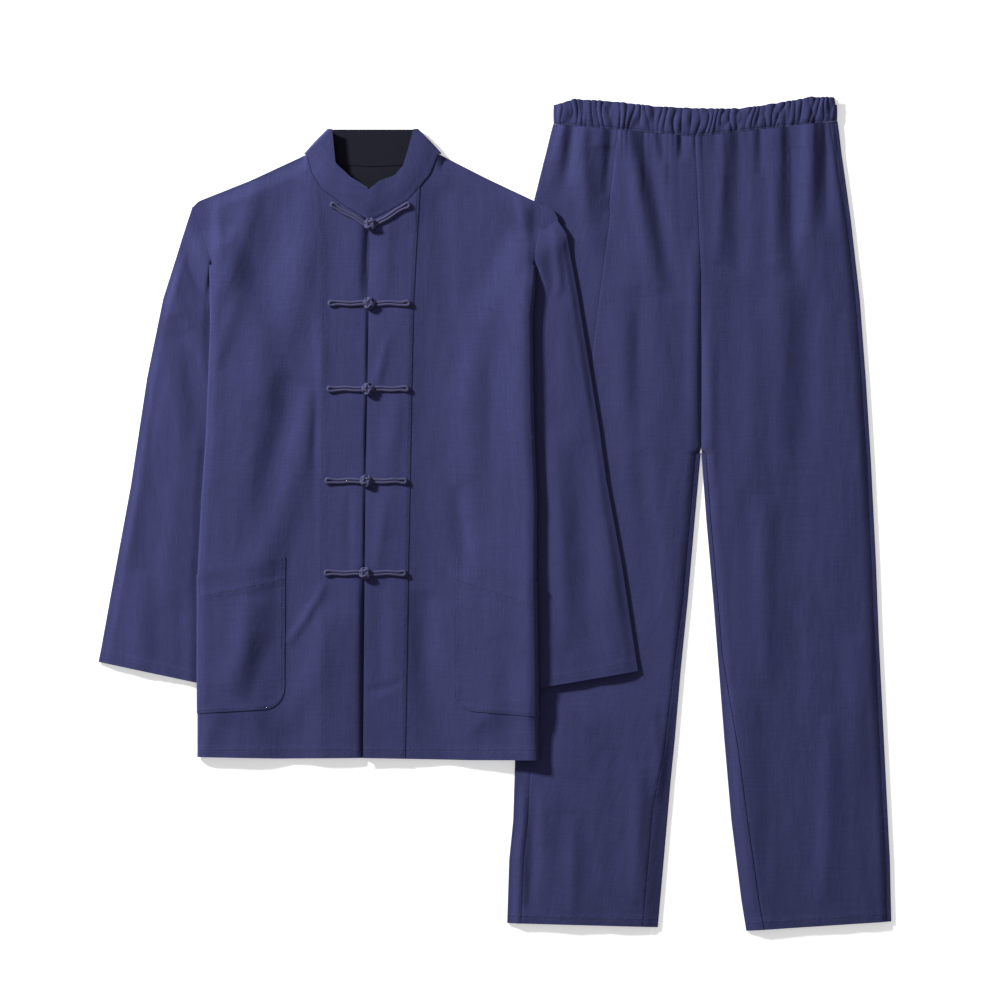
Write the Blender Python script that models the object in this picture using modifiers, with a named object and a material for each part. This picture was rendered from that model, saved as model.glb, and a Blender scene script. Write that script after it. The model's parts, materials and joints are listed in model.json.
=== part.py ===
"""Tai chi uniform laid flat: a mandarin-collar jacket with frog closures, and elastic trousers.

Metres, +Z up. The garments lie on the plane z = 0 and are seen from above, with the jacket's
right sleeve at -X, both waists towards +Y, and the jacket's left sleeve on the trousers.
The wearer's right is at -X. Every piece that a maker cuts is a wall of its own.
"""

import math
from collections import namedtuple

import bmesh
import bpy

for leftover in list(bpy.data.objects):
    bpy.data.objects.remove(leftover)

# Cloth and gaps
WALL = 0.001
SEAM = 0.0003
LAYER = 0.0006
TUBE_GAP = 0.001
TUBE_RADIUS = (WALL + TUBE_GAP) / 2
TUBE_HEIGHT = 2 * WALL + TUBE_GAP
PILE_STEP = TUBE_HEIGHT + LAYER

# How far a layer takes to come down from what it lies on, and how far past it that begins
SPREAD = 0.038
MARGIN = 0.010

# Jacket
TURN_DEPTH = 0.060
TURN_START_Y = 0.307
TURN_FULL_Y = 0.139
BACK_FOLD_RADIUS = 0.00095
TURN_STACK = WALL + SEAM + 2 * BACK_FOLD_RADIUS
FRONT_RISE = WALL + LAYER
FRONT_CROWN = 0.0012
NECK_LIFT = 0.0016
BAND_RISE = WALL + SEAM
BAND_SHARE = 0.245
UNDERLAP = 0.028
LAP_STEP = 0.003
POCKET_RISE = WALL + SEAM
SLEEVE_CROWN, SLEEVE_CROWN_SPREAD = 0.0006, 0.015
CAP_LIFT, CAP_LIFT_RADIUS, CAP_PUFF = 0.004, 0.060, 0.3

# Collar: it stands in front, and lies on the floor behind the neck
COLLAR_WALL = 0.0016
COLLAR_TOP_Z = 0.0095
COLLAR_LAP, COLLAR_LAP_X, COLLAR_LAP_SPREAD = 0.0024, -0.125, 0.025
COLLAR_SEAM = 0.0006
COLLAR_END_ROUND = 0.003
FLOOR_CLEARANCE = 0.00005
BACK_NECK_RISE = 0.0025
COLLAR_BACK_MIDDLE, COLLAR_BACK_SIDE = 0.0008, 0.0035

# Frog closures: two strands of cord side by side, and a knotted ball
CORD_RADIUS = 0.0017
STRAND_OFFSET = 0.00195
KNOT_RADIUS = 0.0066
KNOT_HALF_HEIGHT = 0.0047
KNOT_SINK = 0.8
KNOT_OFFSET = 0.0005
NECK_RADIUS = 0.0036
LOOP_START, STRANDS_START = 0.0045, 0.0062
SLANT_SHORTER = 0.0015

# Trousers
WAIST_WALL = 0.0022
WAIST_GAP = 0.001
GATHERS = 40
GATHER_HEIGHT = 0.0009
GATHER_UNEVEN, GATHER_PHASE, GATHER_END_SHARE = 0.25, 2.3, 0.02
TROUSER_CROWN, CROWN_EDGE_SHARE = 0.0018, 0.12
WAIST_LIFT, WAIST_LIFT_Y, WAIST_LIFT_SPREAD = 0.0014, 0.435, 0.035
COVER_MARGIN, COVER_SPREAD = 0.020, 0.050

# Grid sizes: cells across and along each piece
BODY_ROWS, BODY_COLUMNS, NECK_COLUMNS, POCKET_COLUMN = 20, 12, 4, 6
POCKET_LOW_ROW, POCKET_HIGH_ROW, UNDERARM_ROW = 2, 7, 17
TURN_COLUMNS, POCKET_TURN_COLUMNS, FOLD_POINTS = 3, 2, 4
BAND_COLUMNS = 3
SLEEVE_ROWS, SLEEVE_COLUMNS, CAP_COLUMN = 11, 8, 3
LEG_ROWS, LEG_COLUMNS, LEG_BACK_COLUMNS, CROTCH_ROW = 22, 10, 4, 13

Fold = namedtuple("Fold", "x1 y1 x2 y2 x3 y3 width height")
Inset = namedtuple("Inset", "y side inseam")
Frog = namedtuple("Frog", "y end_y")
Row = namedtuple("Row", "row side_y opening_y")

# Outlines, from the hem up or from the centre out
BODY_EDGE_RIGHT = [(-0.3623, -0.2965), (-0.3623, -0.1940), (-0.3621, -0.0756),
                   (-0.3575, 0.0171), (-0.3517, 0.1000), (-0.3467, 0.2294), (-0.3453, 0.3074)]
BODY_EDGE_LEFT = [(0.0500, -0.3001), (0.0487, -0.1903), (0.0473, -0.0830),
                  (0.0483, 0.0171), (0.0443, 0.1171), (0.0425, 0.2400), (0.0464, 0.3074)]
SHOULDER_RIGHT = [(-0.2300, 0.4383), (-0.2989, 0.4063), (-0.3616, 0.3814), (-0.3684, 0.3745)]
SHOULDER_LEFT = [(-0.0684, 0.4392), (-0.0113, 0.4099), (0.0483, 0.3814), (0.0582, 0.3758)]
NECK_RIGHT = [(-0.1530, 0.3570), (-0.1793, 0.3721), (-0.2013, 0.3880), (-0.2123, 0.3965),
              (-0.2233, 0.4148), (-0.2300, 0.4383)]
NECK_LEFT = [(-0.1520, 0.3575), (-0.1305, 0.3684), (-0.1061, 0.3819), (-0.0976, 0.3916),
             (-0.0781, 0.4148), (-0.0684, 0.4392)]
BACK_NECK_Y = 0.4246
OPENING = [(-0.1608, -0.2975), (-0.1592, -0.1293), (-0.1577, 0.0403), (-0.1554, 0.1562),
           (-0.1537, 0.2660), (-0.1525, 0.3572)]
HEM_RIGHT = [(-0.1608, -0.2975), (-0.2623, -0.2983), (-0.3623, -0.2965)]
HEM_LEFT = [(-0.1608, -0.2975), (-0.0305, -0.3001), (0.0500, -0.3001)]

SLEEVE_RIGHT_OUTER = [(-0.4836, -0.1806), (-0.4680, -0.0939), (-0.4444, 0.0342),
                      (-0.4246, 0.1659), (-0.4050, 0.2623), (-0.3799, 0.3416), (-0.3703, 0.3745)]
SLEEVE_RIGHT_INNER = [(-0.3209, -0.2147), (-0.2989, 0.2245)]
SLEEVE_LEFT_OUTER = [(0.1751, -0.1915), (0.1554, -0.0610), (0.1365, 0.0415), (0.1277, 0.1061),
                     (0.1013, 0.2684), (0.0878, 0.3416), (0.0700, 0.3690), (0.0602, 0.3758)]
SLEEVE_LEFT_INNER = [(0.0098, -0.2196), (-0.0020, 0.2245)]

POCKET_RIGHT_X = -0.2570
POCKET_LEFT_X = -0.0500
POCKET_CORNER = 0.009

# The heights of the body's rows at its side and at its opening: hem, pocket, underarm, shoulder
RIGHT_ROWS = [Row(0, -0.2965, -0.2975), Row(POCKET_LOW_ROW, -0.2428, -0.2400),
              Row(POCKET_HIGH_ROW, -0.0745, -0.0700), Row(UNDERARM_ROW, 0.3074, 0.2750),
              Row(BODY_ROWS, 0.3745, 0.3572)]
LEFT_ROWS = [Row(0, -0.3001, -0.2975), Row(POCKET_LOW_ROW, -0.2464, -0.2400),
             Row(POCKET_HIGH_ROW, -0.0830, -0.0560), Row(UNDERARM_ROW, 0.3074, 0.2750),
             Row(BODY_ROWS, 0.3758, 0.3572)]

LEG_RIGHT_OUTER = [(0.0146, -0.4990), (0.0171, -0.4221), (0.0220, -0.3733), (0.0244, -0.2965),
                   (0.0293, -0.0561), (0.0366, 0.1635), (0.0476, 0.3831), (0.0598, 0.4319),
                   (0.0714, 0.4752)]
LEG_RIGHT_INNER = [(0.1989, -0.5039), (0.2062, -0.4221), (0.2147, -0.3245), (0.2196, -0.2757),
                   (0.2269, -0.1903), (0.2355, -0.1049), (0.2440, -0.0073), (0.2513, 0.0744)]
LEG_LEFT_OUTER = [(0.4836, -0.4970), (0.4819, -0.4221), (0.4758, -0.3001), (0.4685, -0.1537),
                  (0.4648, -0.0561), (0.4587, 0.0659), (0.4526, 0.1635), (0.4453, 0.2611),
                  (0.4343, 0.3587), (0.4258, 0.4197), (0.4172, 0.4790)]
LEG_LEFT_INNER = [(0.3062, -0.5084), (0.3001, -0.4709), (0.2879, -0.3733), (0.2794, -0.2757),
                  (0.2727, -0.1903), (0.2660, -0.1049), (0.2574, -0.0073), (0.2513, 0.0744)]
CENTRE_SEAM = [(0.2513, 0.0744), (0.2513, 0.2928), (0.2472, 0.3819), (0.2440, 0.4600)]
WAIST_SEAM_RIGHT = [(0.0714, 0.4752), (0.2440, 0.4600)]
WAIST_SEAM_LEFT = [(0.4172, 0.4790), (0.2440, 0.4600)]
WAIST_TOP = [(0.0714, 0.4990), (0.0976, 0.5058), (0.1464, 0.5026), (0.1964, 0.4969),
             (0.2501, 0.4945), (0.2977, 0.4941), (0.3477, 0.5014), (0.3864, 0.5084),
             (0.4131, 0.5075), (0.4172, 0.4990)]

# How far the front's seams lie inside each leg's edge, where the back panel comes round
LEG_RIGHT_INSETS = [Inset(-0.510, 0.016, 0.017), Inset(-0.354, 0.017, 0.017),
                    Inset(-0.296, 0.018, 0.010), Inset(-0.105, 0.040, 0.004),
                    Inset(0.139, 0.074, 0.004), Inset(0.364, 0.092, 0.004),
                    Inset(0.480, 0.075, 0.004)]
LEG_LEFT_INSETS = [Inset(-0.510, 0.004, 0.020), Inset(-0.375, 0.004, 0.018),
                   Inset(-0.280, 0.004, 0.014), Inset(-0.166, 0.004, 0.004),
                   Inset(0.340, 0.004, 0.004), Inset(0.480, 0.008, 0.004)]

# Largest folds: a path through three points, its half width and its height over the cloth
TROUSER_FOLDS = [
    Fold(0.0915, 0.470, 0.090, 0.445, 0.080, 0.400, 0.007, -0.0015),
    Fold(0.106, 0.473, 0.128, 0.322, 0.167, 0.159, 0.014, -0.0016),
    Fold(0.162, 0.467, 0.180, 0.400, 0.204, 0.293, 0.010, -0.0018),
    Fold(0.186, 0.460, 0.212, 0.390, 0.226, 0.345, 0.012, 0.0016),
    Fold(0.300, 0.467, 0.286, 0.390, 0.288, 0.322, 0.009, -0.0015),
    Fold(0.306, 0.330, 0.306, 0.230, 0.306, 0.174, 0.014, 0.0014),
    Fold(0.354, 0.473, 0.353, 0.340, 0.364, 0.204, 0.011, -0.0018),
    Fold(0.362, 0.180, 0.360, 0.060, 0.336, -0.006, 0.012, -0.0016),
    Fold(0.336, -0.006, 0.340, -0.090, 0.349, -0.180, 0.012, -0.0014),
    Fold(0.395, 0.476, 0.394, 0.420, 0.392, 0.357, 0.008, -0.0015),
    Fold(0.398, 0.340, 0.398, 0.260, 0.398, 0.190, 0.014, 0.0014),
    Fold(0.272, 0.160, 0.272, 0.080, 0.272, 0.000, 0.014, -0.0012),
    Fold(0.421, -0.250, 0.421, -0.340, 0.410, -0.460, 0.013, -0.0014),
    Fold(0.393, -0.215, 0.393, -0.300, 0.393, -0.385, 0.014, 0.0014),
    Fold(0.168, 0.040, 0.173, -0.020, 0.176, -0.080, 0.013, -0.0013),
]
JACKET_FOLDS = [
    Fold(-0.303, 0.401, -0.312, 0.365, -0.322, 0.325, 0.010, 0.0014),
    Fold(-0.233, 0.400, -0.252, 0.310, -0.276, 0.190, 0.014, 0.0012),
    Fold(-0.256, 0.206, -0.295, 0.083, -0.322, -0.020, 0.015, -0.0011),
    Fold(-0.229, 0.137, -0.264, 0.054, -0.301, -0.045, 0.015, 0.0013),
    Fold(-0.209, -0.085, -0.232, -0.120, -0.254, -0.155, 0.010, 0.0014),
    Fold(-0.067, 0.382, -0.067, 0.290, -0.067, 0.193, 0.016, -0.0010),
    Fold(-0.066, -0.090, -0.062, -0.140, -0.058, -0.190, 0.012, 0.0013),
]
SLEEVE_FOLDS = [
    Fold(-0.390, 0.335, -0.378, 0.300, -0.366, 0.262, 0.010, 0.0016),
    Fold(-0.402, 0.250, -0.390, 0.210, -0.378, 0.160, 0.012, 0.0014),
    Fold(0.074, 0.330, 0.082, 0.280, 0.088, 0.220, 0.010, 0.0016),
    Fold(0.100, 0.140, 0.108, 0.080, 0.112, 0.010, 0.012, 0.0014),
]

FROGS = [Frog(0.3530, 0.3770), Frog(0.2568, 0.2568), Frog(0.1525, 0.1525), Frog(0.0403, 0.0403),
         Frog(-0.0720, -0.0720)]
FROG_REACH = 0.0475
KNOT_X = -0.1545


def ease(share):
    """Smooth step from 0 to 1."""
    share = min(1.0, max(0.0, share))
    return share * share * (3 - 2 * share)


def mix(a, b, share):
    return a + (b - a) * share


def along(points, share):
    """The point at a share of a polyline's length."""
    lengths = [math.dist(a, b) for a, b in zip(points, points[1:])]
    left = min(1.0, max(0.0, share)) * sum(lengths)
    for a, b, length in zip(points, points[1:], lengths):
        if left <= length:
            return (mix(a[0], b[0], left / length), mix(a[1], b[1], left / length))
        left -= length
    return points[-1]


def between(points, share):
    """The point at a share of a polyline whose segments take equal shares."""
    place = share * (len(points) - 1)
    index = min(int(place), len(points) - 2)
    a, b = points[index], points[index + 1]
    return (mix(a[0], b[0], place - index), mix(a[1], b[1], place - index))


def x_at(points, y):
    """A polyline's x at a height y; the polyline climbs from its first point."""
    for a, b in zip(points, points[1:]):
        if y <= b[1]:
            return mix(a[0], b[0], min(1.0, max(0.0, (y - a[1]) / (b[1] - a[1]))))
    return points[-1][0]


def shifted(points, dx):
    return [(x + dx, y) for x, y in points]


def beyond(x, y, corners):
    """How far a point lies outside a convex outline, whose corners run anticlockwise."""
    worst = -1.0
    for a, b in zip(corners, corners[1:] + corners[:1]):
        run_x, run_y = b[0] - a[0], b[1] - a[1]
        worst = max(worst, ((x - a[0]) * run_y - (y - a[1]) * run_x) / math.hypot(run_x, run_y))
    return worst


def raised_over(x, y, corners, height):
    """The height at which cloth lies over something with this outline."""
    return height * ease(1 - (beyond(x, y, corners) - MARGIN) / SPREAD)


def fold_height(x, y, folds):
    """What the folds add to the cloth's height at a point."""
    total = 0.0
    for fold in folds:
        start, middle, end = (fold.x1, fold.y1), (fold.x2, fold.y2), (fold.x3, fold.y3)
        nearest, place = 1.0, 0.0
        for index, (a, b) in enumerate(((start, middle), (middle, end))):
            run_x, run_y = b[0] - a[0], b[1] - a[1]
            share = ((x - a[0]) * run_x + (y - a[1]) * run_y) / (run_x ** 2 + run_y ** 2)
            share = min(1.0, max(0.0, share))
            away = math.hypot(x - a[0] - share * run_x, y - a[1] - share * run_y)
            if away < nearest:
                nearest, place = away, (index + share) / 2
        total += fold.height * math.exp(-((nearest / fold.width) ** 2)) * math.sin(math.pi * place)
    return total


# What the layers lie on
TROUSERS_UNDER = [(0.0714, 0.4746), (0.0476, 0.3831), (0.0366, 0.1635), (0.0244, -0.2965),
                  (0.0200, -0.4000), (0.4000, -0.4000), (0.4000, 0.4700)]
SLEEVE_RIGHT_UNDER = [(-0.4500, 0.3000), (-0.4836, -0.1806), (-0.3209, -0.2147),
                      (-0.2989, 0.2245), (-0.3413, 0.3000)]
SLEEVE_LEFT_UNDER = [(0.0423, 0.3000), (-0.0020, 0.2245), (0.0098, -0.2196),
                     (0.1751, -0.1915), (0.2000, 0.3000)]
TURN_RIGHT_UNDER = [(-0.4000, TURN_START_Y), (-0.4000, -0.3100), (-0.3023, -0.3100),
                    (-0.2880, TURN_FULL_Y), (-0.3450, TURN_START_Y)]
TURN_LEFT_UNDER = [(0.0464, TURN_START_Y), (-0.0180, TURN_FULL_Y), (-0.0120, -0.3100),
                   (0.0900, -0.3100), (0.0900, TURN_START_Y)]
NECK_OUTLINE = [(-0.2308, 0.4383), (-0.2123, 0.3965), (-0.1550, 0.3570), (-0.1061, 0.3819),
                (-0.0676, 0.4392)]
SLEEVE_COVER = [(0.0000, 0.3800), (0.0098, -0.2196), (0.1751, -0.1915), (0.1277, 0.1061),
                (0.1013, 0.2684), (0.0878, 0.3416), (0.0600, 0.3800)]
BODY_COVER = [(-0.3000, 0.4000), (-0.3000, -0.3020), (0.0515, -0.3020), (0.0490, 0.3800)]


def on_trousers(x, y):
    return raised_over(x, y, TROUSERS_UNDER, PILE_STEP)


def pile(x, y):
    """The height that the jacket's body lies on: the floor, the sleeves and the trousers."""
    sleeves = max(raised_over(x, y, SLEEVE_RIGHT_UNDER, PILE_STEP),
                  raised_over(x, y, SLEEVE_LEFT_UNDER, PILE_STEP))
    return on_trousers(x, y) + sleeves


def pocket_rows(x, y):
    """1 in the rows where a pocket goes round the jacket's side, 0 away from them."""
    rows = RIGHT_ROWS if x < KNOT_X else LEFT_ROWS
    low, high = rows[1].side_y, rows[2].side_y
    return ease((high + SPREAD - y) / SPREAD) * ease((y - low + SPREAD) / SPREAD)


def turned(x, y):
    """1 over the sides that are turned under, 0 away from them."""
    return max(raised_over(x, y, TURN_RIGHT_UNDER, 1.0), raised_over(x, y, TURN_LEFT_UNDER, 1.0))


def turn_stack(x, y):
    return TURN_STACK + POCKET_RISE * pocket_rows(x, y)


def back_z(x, y):
    return pile(x, y) + WALL / 2 + turned(x, y) * turn_stack(x, y)


def turned_front_z(x, y):
    """The front where it comes back underneath, over the pocket's own turned part."""
    return pile(x, y) + WALL / 2 + POCKET_RISE * pocket_rows(x, y)


def turned_back_z(x, y):
    return turned_front_z(x, y) + WALL + SEAM


def front_z(x, y):
    """The middle of the front's wall where nothing laps."""
    sides = min(x - x_at(BODY_EDGE_RIGHT, y), x_at(BODY_EDGE_LEFT, y) - x)
    loose = ease(sides / SPREAD)
    neck = NECK_LIFT * ease(1 - beyond(x, y, NECK_OUTLINE) / SPREAD)
    folds = FRONT_CROWN + fold_height(x, y, JACKET_FOLDS)
    return back_z(x, y) + FRONT_RISE + loose * folds + neck


def left_front_z(x, y):
    """The left front lies on the right one's underlap."""
    lap = ease((x_at(OPENING, y) + UNDERLAP + MARGIN + SPREAD - x) / SPREAD)
    return front_z(x, y) + FRONT_RISE * lap


def coons(bottom, top, inner, outer, s, f):
    """A point of the patch between four outlines: s from inner to outer, f from bottom to top."""
    low, high = bottom(s), top(s)
    near, far = inner(f), outer(f)
    return tuple(
        mix(low[i], high[i], f) + mix(near[i], far[i], s)
        - mix(mix(bottom(0)[i], bottom(1)[i], s), mix(top(0)[i], top(1)[i], s), f)
        for i in (0, 1))


def line(points):
    return lambda share: along(points, share)


def at_rows(points, heights):
    """An outline whose share of the rows gives its height."""
    def point(share):
        row = share * BODY_ROWS
        for a, b in zip(heights, heights[1:]):
            if row <= b[0] + 1e-6:
                y = mix(a[1], b[1], (row - a[0]) / (b[0] - a[0]))
                return (x_at(points, y), y)
        return points[-1]
    return point


def joined(first, second, where):
    """Two polylines end to end, the join at a given share."""
    def point(share):
        if share <= where:
            return along(first, share / where)
        return along(second, (share - where) / (1 - where))
    return point


def round_edge(x, y, high, low, side, count=FOLD_POINTS):
    """The points of a fold from a height down to a lower one, bulging to one side."""
    radius = (high - low) / 2
    turns = [math.pi * (k + 1) / (count + 1) for k in range(count)]
    return [(x + side * radius * math.sin(a), y, (high + low) / 2 + radius * math.cos(a))
            for a in turns]


def cloth_material(name, colour, roughness):
    material = bpy.data.materials.new(name)
    material.use_nodes = True
    shader = material.node_tree.nodes["Principled BSDF"]
    shader.inputs["Base Color"].default_value = (*colour, 1.0)
    shader.inputs["Roughness"].default_value = roughness
    shader.inputs["Metallic"].default_value = 0.0
    return material


uniform = bpy.data.collections.new("tai_chi_uniform")
bpy.context.scene.collection.children.link(uniform)
jacket_cloth = cloth_material("jacket_cloth", (0.047, 0.048, 0.142), 0.85)
trouser_cloth = cloth_material("trouser_cloth", (0.040, 0.040, 0.122), 0.85)
frog_cord = cloth_material("frog_cord", (0.037, 0.038, 0.120), 0.75)


def wall(name, rows, thickness, material, closed=False):
    """A cloth wall on a grid of points; a missing point leaves its cells out."""
    shape = bmesh.new()
    grid = [[None if point is None else shape.verts.new(point) for point in row] for row in rows]
    for lower, upper in zip(grid, grid[1:]):
        for column in range(len(lower) - (0 if closed else 1)):
            after = (column + 1) % len(lower)
            cell = [lower[column], lower[after], upper[after], upper[column]]
            if None in cell:
                continue
            # Layers share their diagonals, so that they keep their distance
            first = min(range(4), key=lambda i: cell[i].co.x + cell[i].co.y)
            a, b, c, d = cell[first:] + cell[:first]
            shape.faces.new((a, b, c))
            shape.faces.new((a, c, d))
    mesh = bpy.data.meshes.new(name)
    shape.to_mesh(mesh)
    shape.free()
    mesh.materials.append(material)
    piece = bpy.data.objects.new(name, mesh)
    uniform.objects.link(piece)
    solid = piece.modifiers.new("thickness", "SOLIDIFY")
    solid.thickness = thickness
    solid.offset = 0.0
    solid.use_even_offset = True
    return piece


class Side:
    """One half of the jacket's body, with the outlines that its panels share."""

    def __init__(self, edge, shoulder, neck, hem, rows, pocket_x, side):
        tangent = shifted(edge, -side * (WALL / 2 + (TURN_STACK + FRONT_RISE) / 2))
        back_neck = [(OPENING[-1][0], BACK_NECK_Y), (mix(OPENING[-1][0], neck[-1][0], 0.5),
                     BACK_NECK_Y + BACK_NECK_RISE), neck[-1]]
        self.side = side
        self.neck_share = (neck[-1][0] - neck[0][0]) / (shoulder[-1][0] - neck[0][0])
        self.pocket_share = (pocket_x - hem[0][0]) / (tangent[0][0] - hem[0][0])
        self.outer = at_rows(tangent[:-1] + [edge[-1], shoulder[-1]],
                             [(r.row, r.side_y) for r in rows])
        self.opening = at_rows(OPENING, [(r.row, r.opening_y) for r in rows])
        self.front_top = joined(neck, shoulder, self.neck_share)
        self.back_top = joined(back_neck, shoulder, self.neck_share)
        self.hem = line(hem[:-1] + [tangent[0]])

    def share(self, column):
        """Where a column lies across the half, with one each at band, neck point and pocket."""
        marks = [(0, 0.0), (BAND_COLUMNS, BAND_SHARE), (NECK_COLUMNS, self.neck_share),
                 (POCKET_COLUMN, self.pocket_share), (BODY_COLUMNS, 1.0)]
        for a, b in zip(marks, marks[1:]):
            if column <= b[0]:
                return mix(a[1], b[1], (column - a[0]) / (b[0] - a[0]))

    def point(self, column, row, back=False):
        s, f = self.share(column), row / BODY_ROWS
        x, y = coons(self.hem, self.front_top, self.opening, self.outer, s, f)
        if back:
            y += f ** 8 * (self.back_top(s)[1] - self.front_top(s)[1])
        return x, y

    def turn(self, y):
        """How much of the side is turned under at a height."""
        return TURN_DEPTH * min(1.0, (TURN_START_Y - y) / (TURN_START_Y - TURN_FULL_Y))


RIGHT = Side(BODY_EDGE_RIGHT, SHOULDER_RIGHT, NECK_RIGHT, HEM_RIGHT, RIGHT_ROWS,
             POCKET_RIGHT_X, -1)
LEFT = Side(BODY_EDGE_LEFT, SHOULDER_LEFT, NECK_LEFT, HEM_LEFT, LEFT_ROWS, POCKET_LEFT_X, 1)


def fold_under(half, row, x, y, top_z, turned_z):
    """The rest of a body row: round the side fold and back underneath, or nothing."""
    if row >= UNDERARM_ROW:
        return [None] * (FOLD_POINTS + TURN_COLUMNS + 1)
    points = round_edge(x, y, top_z(x, y), turned_z(x, y), half.side)
    for column in range(TURN_COLUMNS + 1):
        inward = x - half.side * half.turn(y) * column / TURN_COLUMNS
        points.append((inward, y, turned_z(inward, y)))
    return points


def body_row(half, row, height, turned_height, back=False):
    points = []
    for column in range(BODY_COLUMNS + 1):
        if back and column < POCKET_COLUMN and column % 2 == 1:
            continue
        x, y = half.point(column, row, back)
        z = height(x, y)
        if row == BODY_ROWS and column > NECK_COLUMNS and not back:
            z = back_z(x, y) + WALL + SEAM
        points.append((x, y, z))
    x, y = points[-1][:2]
    return points + fold_under(half, row, x, y, height, turned_height)


def jacket_back():
    rows = []
    for row in range(BODY_ROWS + 1):
        right = body_row(RIGHT, row, back_z, turned_back_z, back=True)
        left = body_row(LEFT, row, back_z, turned_back_z, back=True)
        rows.append(right[:0:-1] + left)
    wall("jacket_back", rows, WALL, jacket_cloth)


def jacket_fronts():
    right_rows, left_rows, band_rows = [], [], []
    for row in range(BODY_ROWS + 1):
        x, y = RIGHT.point(0, row)
        lap = [(x + share * UNDERLAP, y, front_z(x + share * UNDERLAP, y))
               for share in (1.0, 0.5)]
        right_rows.append(lap + body_row(RIGHT, row, front_z, turned_front_z))
        left_rows.append(body_row(LEFT, row, left_front_z, turned_front_z))
        band = []
        for column in range(BAND_COLUMNS + 1):
            x, y = LEFT.point(column, row)
            band.append((x, y, left_front_z(x, y) + BAND_RISE))
        band_rows.append(band)
    wall("jacket_front_right", right_rows, WALL, jacket_cloth)
    wall("jacket_front_left", left_rows, WALL, jacket_cloth)
    wall("jacket_front_band", band_rows, WALL, jacket_cloth)


def pocket(name, half, front):
    """A patch pocket, made of the front's points moved out, and turned under with its side."""
    rows = []
    for row in range(POCKET_LOW_ROW, POCKET_HIGH_ROW + 1):
        points = []
        for column in range(POCKET_COLUMN, BODY_COLUMNS + 1):
            x, y = half.point(column, row)
            if (row, column) == (POCKET_LOW_ROW, POCKET_COLUMN):
                x, y = x + half.side * POCKET_CORNER, y + POCKET_CORNER
            points.append((x, y, front(x, y) + POCKET_RISE))
        x, y, high = points[-1]
        points += round_edge(x, y, high, pile(x, y) + WALL / 2, half.side)
        for column in range(POCKET_TURN_COLUMNS + 1):
            inward = x - half.side * half.turn(y) * column / TURN_COLUMNS
            points.append((inward, y, pile(inward, y) + WALL / 2))
        rows.append(points)
    wall(name, rows, WALL, jacket_cloth)


def sleeve(name, outer, inner, underarm, side, lies_on, clear_of, lift_at):
    """A flattened tube from cuff to cap, its underarm part beneath the jacket's body."""
    inset = TUBE_RADIUS + WALL / 2
    outer_edge, inner_edge = line(shifted(outer, -side * inset)), line(shifted(inner, side * inset))
    cuff = line([outer_edge(0), inner_edge(0)])
    cap = ([outer_edge(1), underarm], [underarm, inner_edge(1)])
    top = joined(*cap, CAP_COLUMN / SLEEVE_COLUMNS)
    rows = []
    for row in range(SLEEVE_ROWS + 1):
        f = row / SLEEVE_ROWS
        upper, lower = [], []
        for column in range(SLEEVE_COLUMNS + 1):
            x, y = coons(cuff, top, outer_edge, inner_edge, column / SLEEVE_COLUMNS, f)
            lift = CAP_LIFT * ease(1 - math.dist((x, y), lift_at) / CAP_LIFT_RADIUS)
            base = lies_on(x, y) + WALL / 2 + lift
            clear = ease(side * (x - x_at(clear_of, y)) / SLEEVE_CROWN_SPREAD) * ease(column / 2)
            rise = clear * (SLEEVE_CROWN + fold_height(x, y, SLEEVE_FOLDS))
            upper.append((x, y, base + 2 * TUBE_RADIUS + rise + CAP_PUFF * lift))
            if column % 2 == 0:
                lower.append((x, y, base))
        inner_fold = round_edge(*upper[-1], lower[-1][2], -side, 3)
        outer_fold = round_edge(*upper[0], lower[0][2], side, 3)
        rows.append(upper + inner_fold + lower[::-1] + outer_fold[::-1])
    wall(name, rows, WALL, jacket_cloth, closed=True)


def collar_seam(half, column):
    """A point of the collar's lower edge, just inside the front's neck edge."""
    x, y = half.point(column, BODY_ROWS)
    ahead = half.point(min(column + 1, NECK_COLUMNS), BODY_ROWS)
    behind = half.point(max(column - 1, 0), BODY_ROWS)
    run_x, run_y = ahead[0] - behind[0], ahead[1] - behind[1]
    away = half.side * COLLAR_SEAM / math.hypot(run_x, run_y)
    return x - run_y * away, y + run_x * away


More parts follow.
